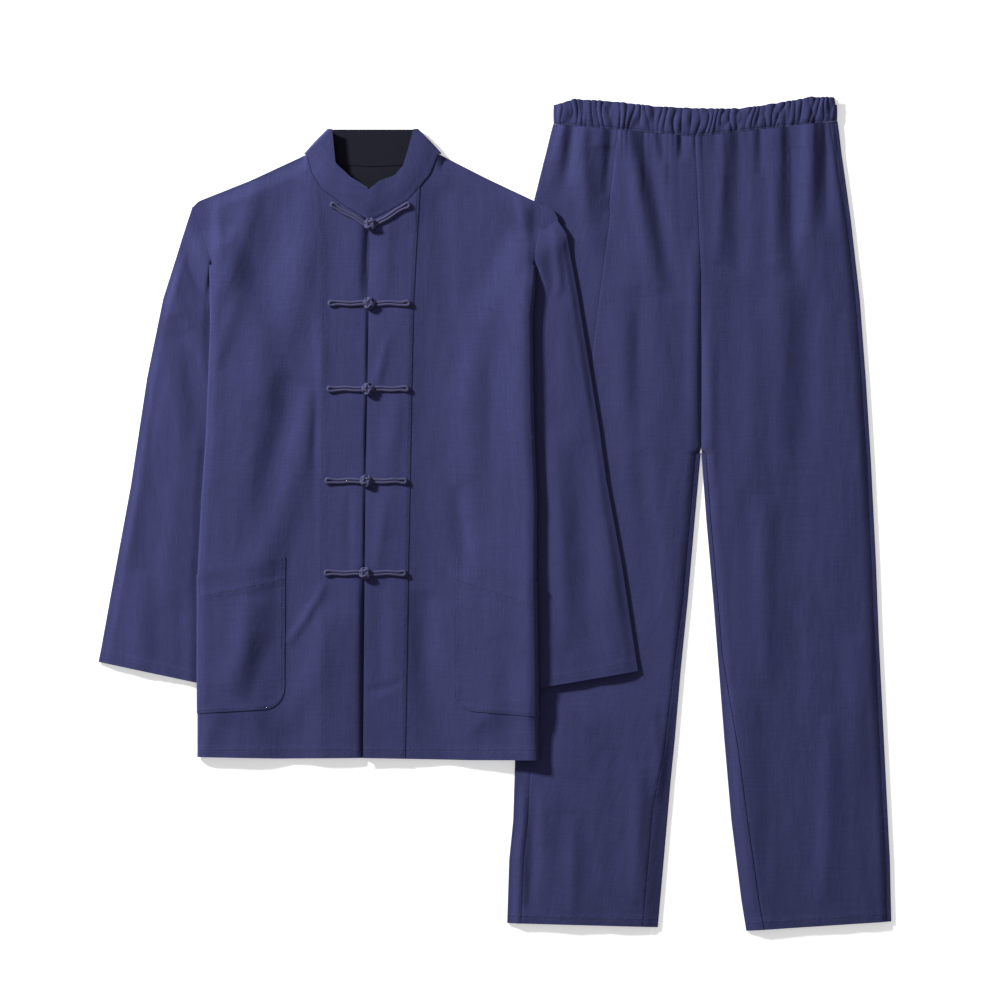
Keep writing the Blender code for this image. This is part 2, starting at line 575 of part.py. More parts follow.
def collar():
    """One standing band round the neck, from the left front's end round to the right one's."""
    left_low = [collar_seam(LEFT, column) for column in range(NECK_COLUMNS + 1)]
    left_high = [(-0.1600, 0.3910), (-0.1403, 0.4063), (-0.1220, 0.4128), (-0.1122, 0.4246),
                 (-0.1061, 0.4441), (-0.0995, 0.4690)]
    right_low = [collar_seam(RIGHT, column) for column in range(NECK_COLUMNS, -1, -1)]
    right_high = [(-0.1985, 0.4690), (-0.1943, 0.4277), (-0.1762, 0.4111), (-0.1550, 0.3977)]
    back_low = [left_low[-1], (-0.1100, BACK_NECK_Y + COLLAR_BACK_SIDE),
                (-0.1500, BACK_NECK_Y + COLLAR_BACK_MIDDLE),
                (-0.1900, BACK_NECK_Y + COLLAR_BACK_SIDE), right_low[0]]
    back_high = [left_high[-1], right_high[0]]
    rows_count, front_count, back_count = 3, 2 * NECK_COLUMNS, 6
    rows = []
    for row in range(rows_count + 1):
        v = row / rows_count
        left, right, back = [], [], []
        for column in range(front_count + 1):
            share = column / front_count
            low, high = between(left_low, share), along(left_high, share)
            x, y = mix(low[0], high[0], v), mix(low[1], high[1], v)
            if column == 0:
                x -= COLLAR_END_ROUND * math.sin(math.pi * v)
            lap = COLLAR_LAP * ease((COLLAR_LAP_X - x) / COLLAR_LAP_SPREAD)
            left.append((x, y, mix(left_front_z(*low) + LAYER, COLLAR_TOP_Z + lap, v)))
            low, high = between(right_low, share), along(right_high, share)
            x, y = mix(low[0], high[0], v), mix(low[1], high[1], v)
            right.append((x, y, mix(front_z(*low), COLLAR_TOP_Z, v)))
        for column in range(back_count + 1):
            share = column / back_count
            low, high = along(back_low, share), along(back_high, share)
            back.append((mix(low[0], high[0], v), mix(low[1], high[1], v),
                         COLLAR_WALL / 2 + FLOOR_CLEARANCE))
        left_fold = round_edge(*left[-1], back[0][2], 1)
        right_fold = round_edge(*right[0], back[-1][2], -1)
        rows.append(left + left_fold + back + right_fold[::-1] + right)
    wall("collar", rows, COLLAR_WALL, jacket_cloth)


def surface_z(x, y):
    """The top of the jacket's centre front: the band, or the right front."""
    lap = ease((x - x_at(OPENING, y) + LAP_STEP) / LAP_STEP)
    over = left_front_z(x, y) + BAND_RISE
    return mix(front_z(x, y), over, lap) + WALL / 2


def frog_cord_loop(name, near, far):
    """Two strands of one cord, from the knot out to their end and back."""
    run = (far[0] - near[0], far[1] - near[1])
    length = math.hypot(*run)
    way = (run[0] / length, run[1] / length)
    points = []
    steps = 4
    for side in (1, -1):
        for step in range(steps + 1):
            share = step / steps if side == 1 else 1 - step / steps
            x = near[0] + way[0] * length * share - way[1] * side * STRAND_OFFSET
            y = near[1] + way[1] * length * share + way[0] * side * STRAND_OFFSET
            points.append((x, y))
        end, facing = (far, 1) if side == 1 else (near, -1)
        x, y = end[0] + facing * way[0] * STRAND_OFFSET, end[1] + facing * way[1] * STRAND_OFFSET
        points.append((x, y))
    curve = bpy.data.curves.new(name, "CURVE")
    curve.dimensions = "3D"
    curve.bevel_depth = CORD_RADIUS
    curve.bevel_resolution = 1
    spline = curve.splines.new("POLY")
    spline.points.add(len(points) - 1)
    spline.use_cyclic_u = True
    for target, (x, y) in zip(spline.points, points):
        target.co = (x, y, surface_z(x, y) + SEAM + CORD_RADIUS, 1.0)
    curve.materials.append(frog_cord)
    uniform.objects.link(bpy.data.objects.new(name, curve))


def frogs():
    """Five closures: a loop on the right front, strands on the band, and a knotted ball."""
    for number, frog in enumerate(FROGS, 1):
        knot_x = x_at(OPENING, frog.y) + KNOT_OFFSET
        reach = FROG_REACH if frog.end_y == frog.y else FROG_REACH - SLANT_SHORTER
        frog_cord_loop(f"frog_{number}_loop", (knot_x - LOOP_START, frog.y),
                       (knot_x - reach, frog.end_y))
        frog_cord_loop(f"frog_{number}_strands", (knot_x + STRANDS_START, frog.y),
                       (knot_x + reach, frog.end_y))
        floor = surface_z(knot_x + NECK_RADIUS, frog.y)
        knot_z = floor + 2 * CORD_RADIUS + 2 * SEAM + KNOT_SINK * KNOT_HALF_HEIGHT
        bpy.ops.mesh.primitive_uv_sphere_add(
            segments=10, ring_count=6, radius=KNOT_RADIUS, location=(knot_x, frog.y, knot_z))
        ball = bpy.context.object
        ball.name = f"frog_{number}_knot"
        ball.scale.z = KNOT_HALF_HEIGHT / KNOT_RADIUS
        ball.data.shade_smooth()
        ball.data.materials.append(frog_cord)
        for holder in list(ball.users_collection):
            holder.objects.unlink(ball)
        uniform.objects.link(ball)


def trouser_rise(x, y, s):
    """How far the front's cloth stands over the flat tube: nothing under the jacket."""
    away = min(beyond(x, y, SLEEVE_COVER), beyond(x, y, BODY_COVER))
    clear = ease((away - COVER_MARGIN) / COVER_SPREAD)
    edges = ease(min(s, 1 - s) / CROWN_EDGE_SHARE)
    waist = WAIST_LIFT * ease((y - WAIST_LIFT_Y) / WAIST_LIFT_SPREAD)
    return clear * (edges * (TROUSER_CROWN + fold_height(x, y, TROUSER_FOLDS)) + waist)


def leg(name, outer, inner, insets, side):
    """A leg: a front between its seams, and a back that comes round both edges to meet it."""
    inset = TUBE_RADIUS + WALL / 2
    out_line = shifted(outer, -side * inset)
    in_line = shifted(inner, side * (inset + SEAM / 2))
    centre = shifted(CENTRE_SEAM, side * SEAM / 2)
    centre[0] = in_line[-1]
    outer_edge = line(out_line)
    inner_edge = joined(in_line, centre, CROTCH_ROW / LEG_ROWS)
    hem = line([in_line[0], out_line[0]])
    top = line([centre[-1], out_line[-1]])
    front_rows, back_rows = [], []
    for row in range(LEG_ROWS + 1):
        f = row / LEG_ROWS
        above_crotch = row > CROTCH_ROW

        def place(s, upper):
            x, y = coons(hem, top, inner_edge, outer_edge, s, f)
            rise = trouser_rise(x, y, 0.5 if above_crotch and s < 0.5 else s)
            return (x, y, WALL / 2 + (2 * TUBE_RADIUS + rise if upper else 0.0))

        near, far = place(0, True), place(1, True)
        width = abs(far[0] - near[0])
        y = (near[1] + far[1]) / 2
        low = max(r for r in insets if r.y <= y or r is insets[0])
        high = min(r for r in insets if r.y >= y)
        share = 0.0 if high.y == low.y else (y - low.y) / (high.y - low.y)
        side_inset = mix(low.side, high.side, share) / width
        inseam_inset = 0.0 if above_crotch else mix(low.inseam, high.inseam, share) / width
        gap = 0.0 if above_crotch else SEAM / 2 / width
        first, last = inseam_inset + gap, 1 - side_inset - SEAM / 2 / width
        front_rows.append([place(mix(first, last, c / LEG_COLUMNS), True)
                           for c in range(LEG_COLUMNS + 1)])
        strip = [place(mix(1 - side_inset + SEAM / 2 / width, 1, c / 3), True) for c in range(4)]
        under = [place(1 - c / LEG_BACK_COLUMNS, False) for c in range(LEG_BACK_COLUMNS + 1)]
        back = strip + round_edge(*strip[-1], under[0][2], side, 3) + under
        if above_crotch:
            back += [None] * 5
        else:
            back += round_edge(*near, under[-1][2], -side, 3)[::-1]
            back += [near, place(max(inseam_inset - gap, 0.001), True)]
        back_rows.append(back)
    wall(f"{name}_front", front_rows, WALL, trouser_cloth)
    wall(f"{name}_back", back_rows, WALL, trouser_cloth)


def waistband():
    """The elastic casing: a flat ring whose front is gathered."""
    radius = (WAIST_WALL + WAIST_GAP) / 2
    inset = radius + WAIST_WALL / 2
    seam = WAIST_SEAM_RIGHT[:-1] + WAIST_SEAM_LEFT[::-1]
    low = [(x, y + SEAM) for x, y in seam]
    top = list(WAIST_TOP)
    for outline in (low, top):
        outline[0] = (outline[0][0] + inset, outline[0][1])
        outline[-1] = (outline[-1][0] - inset, outline[-1][1])
    columns, back_columns = 2 * GATHERS, 12
    rows = []
    for v in (0, 1):
        front, back = [], []
        for column in range(columns + 1):
            share = column / columns
            a, b = along(low, share), along(top, share)
            size = 1 - GATHER_UNEVEN + GATHER_UNEVEN * math.sin(GATHER_PHASE * column)
            ends = ease(min(share, 1 - share) / GATHER_END_SHARE)
            wave = GATHER_HEIGHT * size * (-1) ** column * ends
            front.append((mix(a[0], b[0], v), mix(a[1], b[1], v),
                          WAIST_WALL / 2 + 2 * radius + wave + GATHER_HEIGHT))
        for column in range(back_columns + 1):
            share = 1 - column / back_columns
            a, b = along(low, share), along(top, share)
            back.append((mix(a[0], b[0], v), mix(a[1], b[1], v), WAIST_WALL / 2))
        right_side = round_edge(*front[-1], back[0][2], 1)
        left_side = round_edge(*front[0], back[-1][2], -1)
        rows.append(front + right_side + back + left_side[::-1])
    wall("waistband", rows, WAIST_WALL, trouser_cloth, closed=True)


jacket_back()
jacket_fronts()
pocket("pocket_right", RIGHT, front_z)
pocket("pocket_left", LEFT, left_front_z)
sleeve("sleeve_right", SLEEVE_RIGHT_OUTER, SLEEVE_RIGHT_INNER, (-0.3458, 0.3074), -1,
       lambda x, y: 0.0, BODY_EDGE_RIGHT, (-0.3900, 0.4000))
sleeve("sleeve_left", SLEEVE_LEFT_OUTER, SLEEVE_LEFT_INNER, (0.0469, 0.3074), 1,
       on_trousers, BODY_EDGE_LEFT, (0.0750, 0.3700))
collar()
frogs()
leg("trouser_right", LEG_RIGHT_OUTER, LEG_RIGHT_INNER, LEG_RIGHT_INSETS, -1)
leg("trouser_left", LEG_LEFT_OUTER, LEG_LEFT_INNER, LEG_LEFT_INSETS, 1)
waistband()
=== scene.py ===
"""Tai chi uniform laid flat on a pale floor: a navy cotton jacket with frog closures, trousers.

Metres, +Z up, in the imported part's frame. The jacket's right sleeve is at -X, the collar and the
waist are towards +Y, and the jacket's left sleeve lies on the trousers.
"""

import json
import math
from collections import namedtuple

import bpy
import numpy as np
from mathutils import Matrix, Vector, noise

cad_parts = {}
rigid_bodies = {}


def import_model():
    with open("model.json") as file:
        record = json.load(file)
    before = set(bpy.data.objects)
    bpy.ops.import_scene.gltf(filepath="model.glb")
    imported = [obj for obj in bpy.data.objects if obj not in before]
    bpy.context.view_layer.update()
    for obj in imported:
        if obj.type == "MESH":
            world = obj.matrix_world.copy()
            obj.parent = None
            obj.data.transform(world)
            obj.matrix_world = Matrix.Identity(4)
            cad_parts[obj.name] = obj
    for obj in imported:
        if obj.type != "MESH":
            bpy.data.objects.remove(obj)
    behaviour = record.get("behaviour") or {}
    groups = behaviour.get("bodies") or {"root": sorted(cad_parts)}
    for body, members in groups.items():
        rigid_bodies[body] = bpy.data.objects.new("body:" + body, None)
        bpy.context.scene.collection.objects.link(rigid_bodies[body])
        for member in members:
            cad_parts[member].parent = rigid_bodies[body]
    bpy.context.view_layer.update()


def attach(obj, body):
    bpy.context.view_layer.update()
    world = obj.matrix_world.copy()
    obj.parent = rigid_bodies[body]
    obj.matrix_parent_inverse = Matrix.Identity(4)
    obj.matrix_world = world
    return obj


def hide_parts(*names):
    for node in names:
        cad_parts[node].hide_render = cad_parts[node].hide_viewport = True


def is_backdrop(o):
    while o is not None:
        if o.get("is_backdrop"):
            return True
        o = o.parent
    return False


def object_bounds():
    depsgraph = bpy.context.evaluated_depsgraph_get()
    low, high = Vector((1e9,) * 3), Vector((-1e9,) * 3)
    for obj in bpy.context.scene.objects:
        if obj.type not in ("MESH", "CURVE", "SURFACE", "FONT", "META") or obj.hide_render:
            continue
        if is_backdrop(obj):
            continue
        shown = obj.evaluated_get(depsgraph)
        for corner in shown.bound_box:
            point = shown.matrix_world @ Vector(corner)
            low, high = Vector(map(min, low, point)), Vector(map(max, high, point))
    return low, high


for leftover in list(bpy.data.objects):
    bpy.data.objects.remove(leftover)
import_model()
bpy.ops.object.select_all(action="DESELECT")

# Camera, floor and light
# The garments are seen from straight above, from far off. A large soft lamp stands low at the
# upper left, so that each layer throws a shadow to its right, and a white room fills the shade.

PIXEL = 0.00122
VIEW_X, VIEW_Y, VIEW_HEIGHT = 0.00915, 0.0140, 8.0
FLOOR_Z = -0.0006


def spot(u, v):
    """A place on the floor from its place in the photograph's frame of 1005 x 1005."""
    return ((u - 495) * PIXEL, (514 - v) * PIXEL)


bpy.ops.object.camera_add(location=(VIEW_X, VIEW_Y, VIEW_HEIGHT), rotation=(0, 0, 0))
camera = bpy.context.object
camera.data.sensor_width = 36
camera.data.lens = 36 * VIEW_HEIGHT / (1005 * PIXEL)
camera.data.clip_end = 50
bpy.context.scene.camera = camera

bpy.ops.mesh.primitive_plane_add(size=12, location=(0, 0, FLOOR_Z))
floor = bpy.context.object
floor.name = "floor"
paper = bpy.data.materials.new("white_paper")
paper.use_nodes = True
paper.node_tree.nodes["Principled BSDF"].inputs["Base Color"].default_value = (0.93, 0.93, 0.93, 1)
paper.node_tree.nodes["Principled BSDF"].inputs["Roughness"].default_value = 0.9
paper.node_tree.nodes["Principled BSDF"].inputs["Emission Color"].default_value = (1, 1, 1, 1)
paper.node_tree.nodes["Principled BSDF"].inputs["Emission Strength"].default_value = 0.42
floor.data.materials.append(paper)
floor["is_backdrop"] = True

LAMP_ELEVATION, LAMP_BEARING = 24, 142
LAMP_DISTANCE, LAMP_SIZE, LAMP_POWER = 4.0, 0.5, 300
towards = Vector((math.cos(math.radians(LAMP_BEARING)) * math.cos(math.radians(LAMP_ELEVATION)),
                  math.sin(math.radians(LAMP_BEARING)) * math.cos(math.radians(LAMP_ELEVATION)),
                  math.sin(math.radians(LAMP_ELEVATION))))
bpy.ops.object.light_add(type="AREA", location=towards * LAMP_DISTANCE)
lamp = bpy.context.object
lamp.data.shape = "DISK"
lamp.data.size = LAMP_SIZE
lamp.data.energy = LAMP_POWER
lamp.rotation_euler = towards.to_track_quat("Z", "Y").to_euler()

room = bpy.data.worlds.new("white_room")
room.use_nodes = True
room.node_tree.nodes["Background"].inputs["Color"].default_value = (1, 1, 1, 1)
room.node_tree.nodes["Background"].inputs["Strength"].default_value = 0.30
bpy.context.scene.world = room
bpy.context.scene.view_settings.view_transform = "Standard"

# Jacket body
# A back and two fronts of navy plain-weave cotton, seamed at the shoulders and sides. Laid out,
# each side is turned under, so that front and back both come round the fold and back beneath.

WALL = 0.001
SEAM = 0.0003
LAYER = 0.0006
TUBE_RADIUS = 0.001
PILE_STEP = 0.0036
SPREAD, MARGIN = 0.038, 0.010
TURN_DEPTH, TURN_START_Y, TURN_FULL_Y = 0.060, 0.307, 0.139
TURN_STACK = 0.0032
FRONT_RISE = WALL + LAYER
FRONT_CROWN, SIDE_ROLL, ROLL_WIDTH = 0.0030, 0.004, 0.013
CREASE_SPREAD = 0.014
LOOSE_ROLL, LOOSE_REACH = 0.0048, 0.034
CALM_Y, CALM_SLOPE, CALM_SPREAD = 0.472, 0.30, 0.02
DEEPEST_SINK, SINK_SHARE = 0.0004, 0.15
EDGE_DIP, EDGE_DIP_WIDTH, DEEPEST_DIP = 0.0009, 0.0022, 0.0042
NECK_LIFT = 0.0016
COTTON = 0.0007
BAND_RISE, POCKET_RISE = 0.0010, 0.0008
JOIN = 0.00006
BAND_SHARE = 0.245
UNDERLAP = 0.028
HEM_DEPTH, HEM_THICKNESS, HEM_STEP_START, HEM_STEP = 0.009, 0.0004, 0.0063, 0.002
POCKET_LOW, POCKET_HIGH, UNDERARM = 0.10, 0.35, 0.85
OPENING_X = -0.1545

Row = namedtuple("Row", "share side_y opening_y")
Crease = namedtuple("Crease", "u1 v1 u2 v2 u3 v3 width lean height")

BODY_EDGE_RIGHT = [(-0.3623, -0.2965), (-0.3623, -0.1940), (-0.3621, -0.0756),
                   (-0.3575, 0.0171), (-0.3517, 0.1000), (-0.3467, 0.2294), (-0.3453, 0.3074)]
BODY_EDGE_LEFT = [(0.0500, -0.3001), (0.0487, -0.1903), (0.0473, -0.0830),
                  (0.0483, 0.0171), (0.0443, 0.1171), (0.0425, 0.2400), (0.0464, 0.3074)]
SHOULDER_RIGHT = [(-0.2300, 0.4383), (-0.2989, 0.4063), (-0.3616, 0.3814), (-0.3684, 0.3745)]
SHOULDER_LEFT = [(-0.0684, 0.4392), (-0.0113, 0.4099), (0.0483, 0.3814), (0.0582, 0.3758)]
NECK_RIGHT = [(-0.1530, 0.3570), (-0.1793, 0.3721), (-0.2013, 0.3880), (-0.2123, 0.3965),
              (-0.2233, 0.4148), (-0.2300, 0.4383)]
NECK_LEFT = [(-0.1520, 0.3575), (-0.1305, 0.3684), (-0.1061, 0.3819), (-0.0976, 0.3916),
             (-0.0781, 0.4148), (-0.0684, 0.4392)]
BACK_NECK_Y, BACK_NECK_RISE = 0.4246, 0.0025
OPENING = [(-0.1608, -0.2975), (-0.1592, -0.1293), (-0.1577, 0.0403), (-0.1554, 0.1562),
           (-0.1537, 0.2660), (-0.1525, 0.3572)]
HEM_RIGHT = [(-0.1608, -0.2975), (-0.2623, -0.2983), (-0.3623, -0.2965)]
HEM_LEFT = [(-0.1608, -0.2975), (-0.0305, -0.3001), (0.0500, -0.3001)]
POCKET_RIGHT_X, POCKET_LEFT_X = -0.2570, -0.0500
RIGHT_ROWS = [Row(0.0, -0.2965, -0.2975), Row(POCKET_LOW, -0.2428, -0.2400),
              Row(POCKET_HIGH, -0.0745, -0.0700), Row(UNDERARM, 0.3074, 0.2750),
              Row(1.0, 0.3745, 0.3572)]
LEFT_ROWS = [Row(0.0, -0.3001, -0.2975), Row(POCKET_LOW, -0.2464, -0.2400),
             Row(POCKET_HIGH, -0.0830, -0.0560), Row(UNDERARM, 0.3074, 0.2750),
             Row(1.0, 0.3758, 0.3572)]

# What the jacket lies on, each outline anticlockwise
TROUSERS_UNDER = [(0.0714, 0.4746), (0.0476, 0.3831), (0.0366, 0.1635), (0.0244, -0.2965),
                  (0.0200, -0.4000), (0.4000, -0.4000), (0.4000, 0.4700)]
SLEEVE_RIGHT_UNDER = [(-0.4500, 0.3000), (-0.4836, -0.1806), (-0.3209, -0.2147),
                      (-0.2989, 0.2245), (-0.3413, 0.3000)]
SLEEVE_LEFT_UNDER = [(0.0423, 0.3000), (-0.0020, 0.2245), (0.0098, -0.2196),
                     (0.1751, -0.1915), (0.2000, 0.3000)]
TURN_RIGHT_UNDER = [(-0.4000, TURN_START_Y), (-0.4000, -0.3100), (-0.3023, -0.3100),
                    (-0.2880, TURN_FULL_Y), (-0.3450, TURN_START_Y)]
TURN_LEFT_UNDER = [(0.0464, TURN_START_Y), (-0.0180, TURN_FULL_Y), (-0.0120, -0.3100),
                   (0.0900, -0.3100), (0.0900, TURN_START_Y)]
NECK_OUTLINE = [(-0.2308, 0.4383), (-0.2123, 0.3965), (-0.1550, 0.3570), (-0.1061, 0.3819),
                (-0.0676, 0.4392)]

# Creases of the fronts: a bend through three places in the photograph's frame, the half width
# in its pixels, how much wider the left flank is, and the height in millimetres
JACKET_CREASES = [
    Crease(205, 196, 215, 222, 219, 254, 5, 1.3, 1.9),
    Crease(254, 180, 245, 228, 222, 302, 11, 1.0, 2.8),
    Crease(238, 294, 228, 330, 214, 370, 8, 1.0, 1.7),
    Crease(290, 182, 264, 270, 230, 374, 20, 1.0, -2.6),
    Crease(310, 174, 302, 280, 262, 408, 16, 1.2, 3.0),
    Crease(316, 288, 321, 345, 322, 400, 7, 1.0, 1.4),
    Crease(292, 376, 268, 474, 240, 574, 15, 1.0, -2.6),
    Crease(310, 388, 296, 470, 262, 576, 14, 1.0, 3.4),
    Crease(316, 390, 315, 430, 314, 478, 5, 1.0, -1.8),
    Crease(350, 488, 349, 530, 349, 574, 5, 1.0, -1.4),
    Crease(327, 580, 307, 616, 287, 644, 4, 1.0, 2.2),
    Crease(326, 602, 316, 668, 278, 732, 14, 1.0, 2.6),
    Crease(326, 610, 324, 690, 322, 790, 34, 0.4, 2.8),
    Crease(252, 598, 245, 642, 230, 692, 13, 1.0, 3.0),
    Crease(268, 636, 257, 674, 247, 708, 11, 1.0, -2.2),
    Crease(222, 702, 212, 728, 203, 752, 8, 1.0, 1.2),
    Crease(388, 220, 386, 258, 384, 302, 10, 1.2, 1.8),
    Crease(390, 333, 381, 366, 375, 392, 4.5, 1.0, 1.5),
    Crease(398, 390, 394, 432, 388, 480, 8, 1.2, 1.3),
    Crease(386, 488, 382, 530, 374, 577, 6, 1.1, 1.5),
    Crease(380, 580, 380, 632, 384, 694, 9, 1.0, -1.8),
    Crease(368, 690, 384, 688, 403, 681, 3, 1.0, -1.2),
    Crease(442, 186, 443, 250, 446, 316, 12, 1.0, -1.8),
    Crease(468, 296, 468, 390, 468, 484, 14, 1.0, 2.0),
    Crease(486, 326, 488, 420, 484, 544, 12, 1.0, -1.8),
    Crease(496, 194, 500, 230, 498, 284, 12, 1.0, 1.3),
    Crease(519, 196, 523, 216, 525, 242, 4.5, 1.0, 1.8),
    Crease(456, 486, 462, 530, 467, 574, 8, 1.0, -2.4),
    Crease(424, 592, 428, 672, 446, 790, 14, 1.0, -3.0),
    Crease(452, 600, 452, 650, 460, 720, 12, 1.2, 1.4),
    Crease(496, 636, 504, 690, 500, 756, 10, 1.0, -1.4),
]
# Only on the right front, which dips before it goes under the left one
OPENING_CREASES = [
    Crease(370.5, 204, 369, 250, 367, 304, 3.4, 1.7, -4.6),
    Crease(369, 300, 368.5, 345, 368, 392, 2.0, 1.4, -1.5),
    Crease(368, 390, 367, 435, 366.5, 482, 2.0, 1.4, -1.6),
    Crease(366.5, 484, 366, 530, 365, 576, 2.0, 1.4, -1.6),
    Crease(365, 566, 364.5, 670, 364, 800, 3.0, 1.5, -4.2),
]


def ease(share):
    """Smooth step from 0 to 1."""
    share = np.clip(share, 0.0, 1.0)
    return share * share * (3 - 2 * share)


def mix(a, b, share):
    return a + (b - a) * share


def line(points):
    """The point at each share of a polyline's length."""
    points = np.array(points, float)
    run = np.concatenate([[0.0], np.cumsum(np.hypot(*np.diff(points, axis=0).T))])
    return lambda share: np.stack(
        [np.interp(np.asarray(share) * run[-1], run, points[:, i]) for i in (0, 1)], -1)


def joined(first, second, where):
    """Two polylines end to end, the join at a given share."""
    start, end = line(first), line(second)

    def point(share):
        share = np.asarray(share, float)
        return np.where((share <= where)[..., None], start(share / where),
                        end((share - where) / (1 - where)))
    return point


def x_at(points, y):
    """A polyline's x at each height y; the polyline climbs."""
    return np.interp(y, [p[1] for p in points], [p[0] for p in points])


def shifted(points, dx):
    return [(x + dx, y) for x, y in points]


def beyond(x, y, corners):
    """How far points lie outside a convex outline."""
    worst = np.full(np.shape(x), -1.0)
    for a, b in zip(corners, corners[1:] + corners[:1]):
        run_x, run_y = b[0] - a[0], b[1] - a[1]
        away = ((x - a[0]) * run_y - (y - a[1]) * run_x) / math.hypot(run_x, run_y)
        worst = np.maximum(worst, away)
    return worst


def raised_over(x, y, corners, height):
    return height * ease(1 - (beyond(x, y, corners) - MARGIN) / SPREAD)


def creased(x, y, creases):
    """The height that a table of creases gives the cloth."""
    total = np.zeros(np.shape(x))
    for crease in creases:
        a, m, b = (np.array(spot(*p)) for p in ((crease.u1, crease.v1), (crease.u2, crease.v2),
                                                (crease.u3, crease.v3)))
        steps = np.linspace(0, 1, 7)[:, None]
        bow = 2 * m - (a + b) / 2
        path = (1 - steps) ** 2 * a + 2 * steps * (1 - steps) * bow + steps ** 2 * b
        near, place, left = np.full(np.shape(x), 9.0), np.zeros(np.shape(x)), np.ones(np.shape(x))
        for index, (p, q) in enumerate(zip(path, path[1:])):
            run = q - p
            share = np.clip(((x - p[0]) * run[0] + (y - p[1]) * run[1]) / (run @ run), 0, 1)
            off_x, off_y = x - p[0] - share * run[0], y - p[1] - share * run[1]
            away = np.hypot(off_x, off_y)
            closer = away < near
            near = np.where(closer, away, near)
            place = np.where(closer, (index + share) / 6, place)
            left = np.where(closer, off_x < 0, left)
        width = crease.width * PIXEL * np.where(left, crease.lean, 1.0)
        ends = np.sqrt(np.clip(np.sin(math.pi * place), 0, 1))
        total += crease.height / 1000 * np.exp(-(near / width) ** 2) * ends
    return total


def swells(x, y, seed, across, along, height):
    """Low uneven swells of the cloth, longer one way than the other."""
    out = np.zeros(np.shape(x))
    for octave, share in ((1, 1.0), (2.3, 0.42), (5.1, 0.16)):
        out += share * np.array([
            noise.noise(Vector((a * octave / across, b * octave / along, seed + octave)))
            for a, b in zip(np.ravel(x), np.ravel(y))]).reshape(np.shape(x))
    return height * out


def on_trousers(x, y):
    return raised_over(x, y, TROUSERS_UNDER, PILE_STEP)


def pile(x, y):
    """The height that the jacket's body lies on: the floor, the sleeves and the trousers."""
    return on_trousers(x, y) + np.maximum(raised_over(x, y, SLEEVE_RIGHT_UNDER, PILE_STEP),
                                          raised_over(x, y, SLEEVE_LEFT_UNDER, PILE_STEP))


def pocket_rows(x, y):
    """1 in the rows where a pocket goes round the jacket's side, 0 away from them."""
    low = np.where(x < OPENING_X, RIGHT_ROWS[1].side_y, LEFT_ROWS[1].side_y)
    high = np.where(x < OPENING_X, RIGHT_ROWS[2].side_y, LEFT_ROWS[2].side_y)
    return ease((high + SPREAD - y) / SPREAD) * ease((y - low + SPREAD) / SPREAD)


def back_z(x, y):
    turned = np.maximum(raised_over(x, y, TURN_RIGHT_UNDER, 1.0),
                        raised_over(x, y, TURN_LEFT_UNDER, 1.0))
    return pile(x, y) + WALL / 2 + turned * (TURN_STACK + POCKET_RISE * pocket_rows(x, y))


def turned_front_z(x, y):
    return pile(x, y) + WALL / 2 + POCKET_RISE * pocket_rows(x, y)


def turned_back_z(x, y):
    return turned_front_z(x, y) + WALL + SEAM


def front_z(x, y):
    """The middle of the front's wall where nothing laps."""
    sides = np.minimum(x - x_at(BODY_EDGE_RIGHT, y), x_at(BODY_EDGE_LEFT, y) - x)
    calm = ease((CALM_Y - CALM_SLOPE * np.abs(x - OPENING_X) - y) / CALM_SPREAD)
    neck = NECK_LIFT * ease(1 - beyond(x, y, NECK_OUTLINE) / SPREAD)
    rise = ease((sides + SIDE_ROLL) / ROLL_WIDTH) * FRONT_CROWN
    rise += ease(sides / CREASE_SPREAD) * calm * (
        creased(x, y, JACKET_CREASES) + swells(x, y, 3.0, 0.055, 0.16, 0.0012))
    hem = HEM_THICKNESS * ease((HEM_STEP_START + HEM_RIGHT[0][1] - y) / HEM_STEP + 1)
    rise = np.maximum(rise, SINK_SHARE * rise - DEEPEST_SINK)
    return back_z(x, y) + FRONT_RISE + rise + neck + hem


def right_front_z(x, y):
    """The right front dips beside the band's edge, where it goes under the left one."""
    edge = EDGE_DIP * np.exp(-((x - x_at(OPENING, y)) / EDGE_DIP_WIDTH) ** 2)
    return front_z(x, y) + np.maximum(creased(x, y, OPENING_CREASES) - edge, -DEEPEST_DIP)


def left_front_z(x, y):
    """The left front lies on the right one's underlap, and its side fold is a loose roll."""
    loose = ease(1 - (x_at(BODY_EDGE_LEFT, y) - x) / LOOSE_REACH)
    loose = LOOSE_ROLL * loose * ease((TURN_START_Y - y) / LOOSE_REACH)
    lap = ease((x_at(OPENING, y) + UNDERLAP + MARGIN + SPREAD - x) / SPREAD)
    return front_z(x, y) + FRONT_RISE * lap + loose


def patch(bottom, top, inner, outer, s, f):
    """Points between four outlines: s from inner to outer, f from bottom to top."""
    across, up = s[..., None], f[..., None]
    corners = mix(mix(bottom(0.0), bottom(1.0), across), mix(top(0.0), top(1.0), across), up)
    return mix(bottom(s), top(s), up) + mix(inner(f), outer(f), across) - corners


def at_rows(points, heights):
    """An outline whose share of the rows gives its height."""
    shares, ys = zip(*heights)

    def point(share):
        y = np.interp(share, shares, ys)
        return np.stack([x_at(points, y), y], -1)
    return point


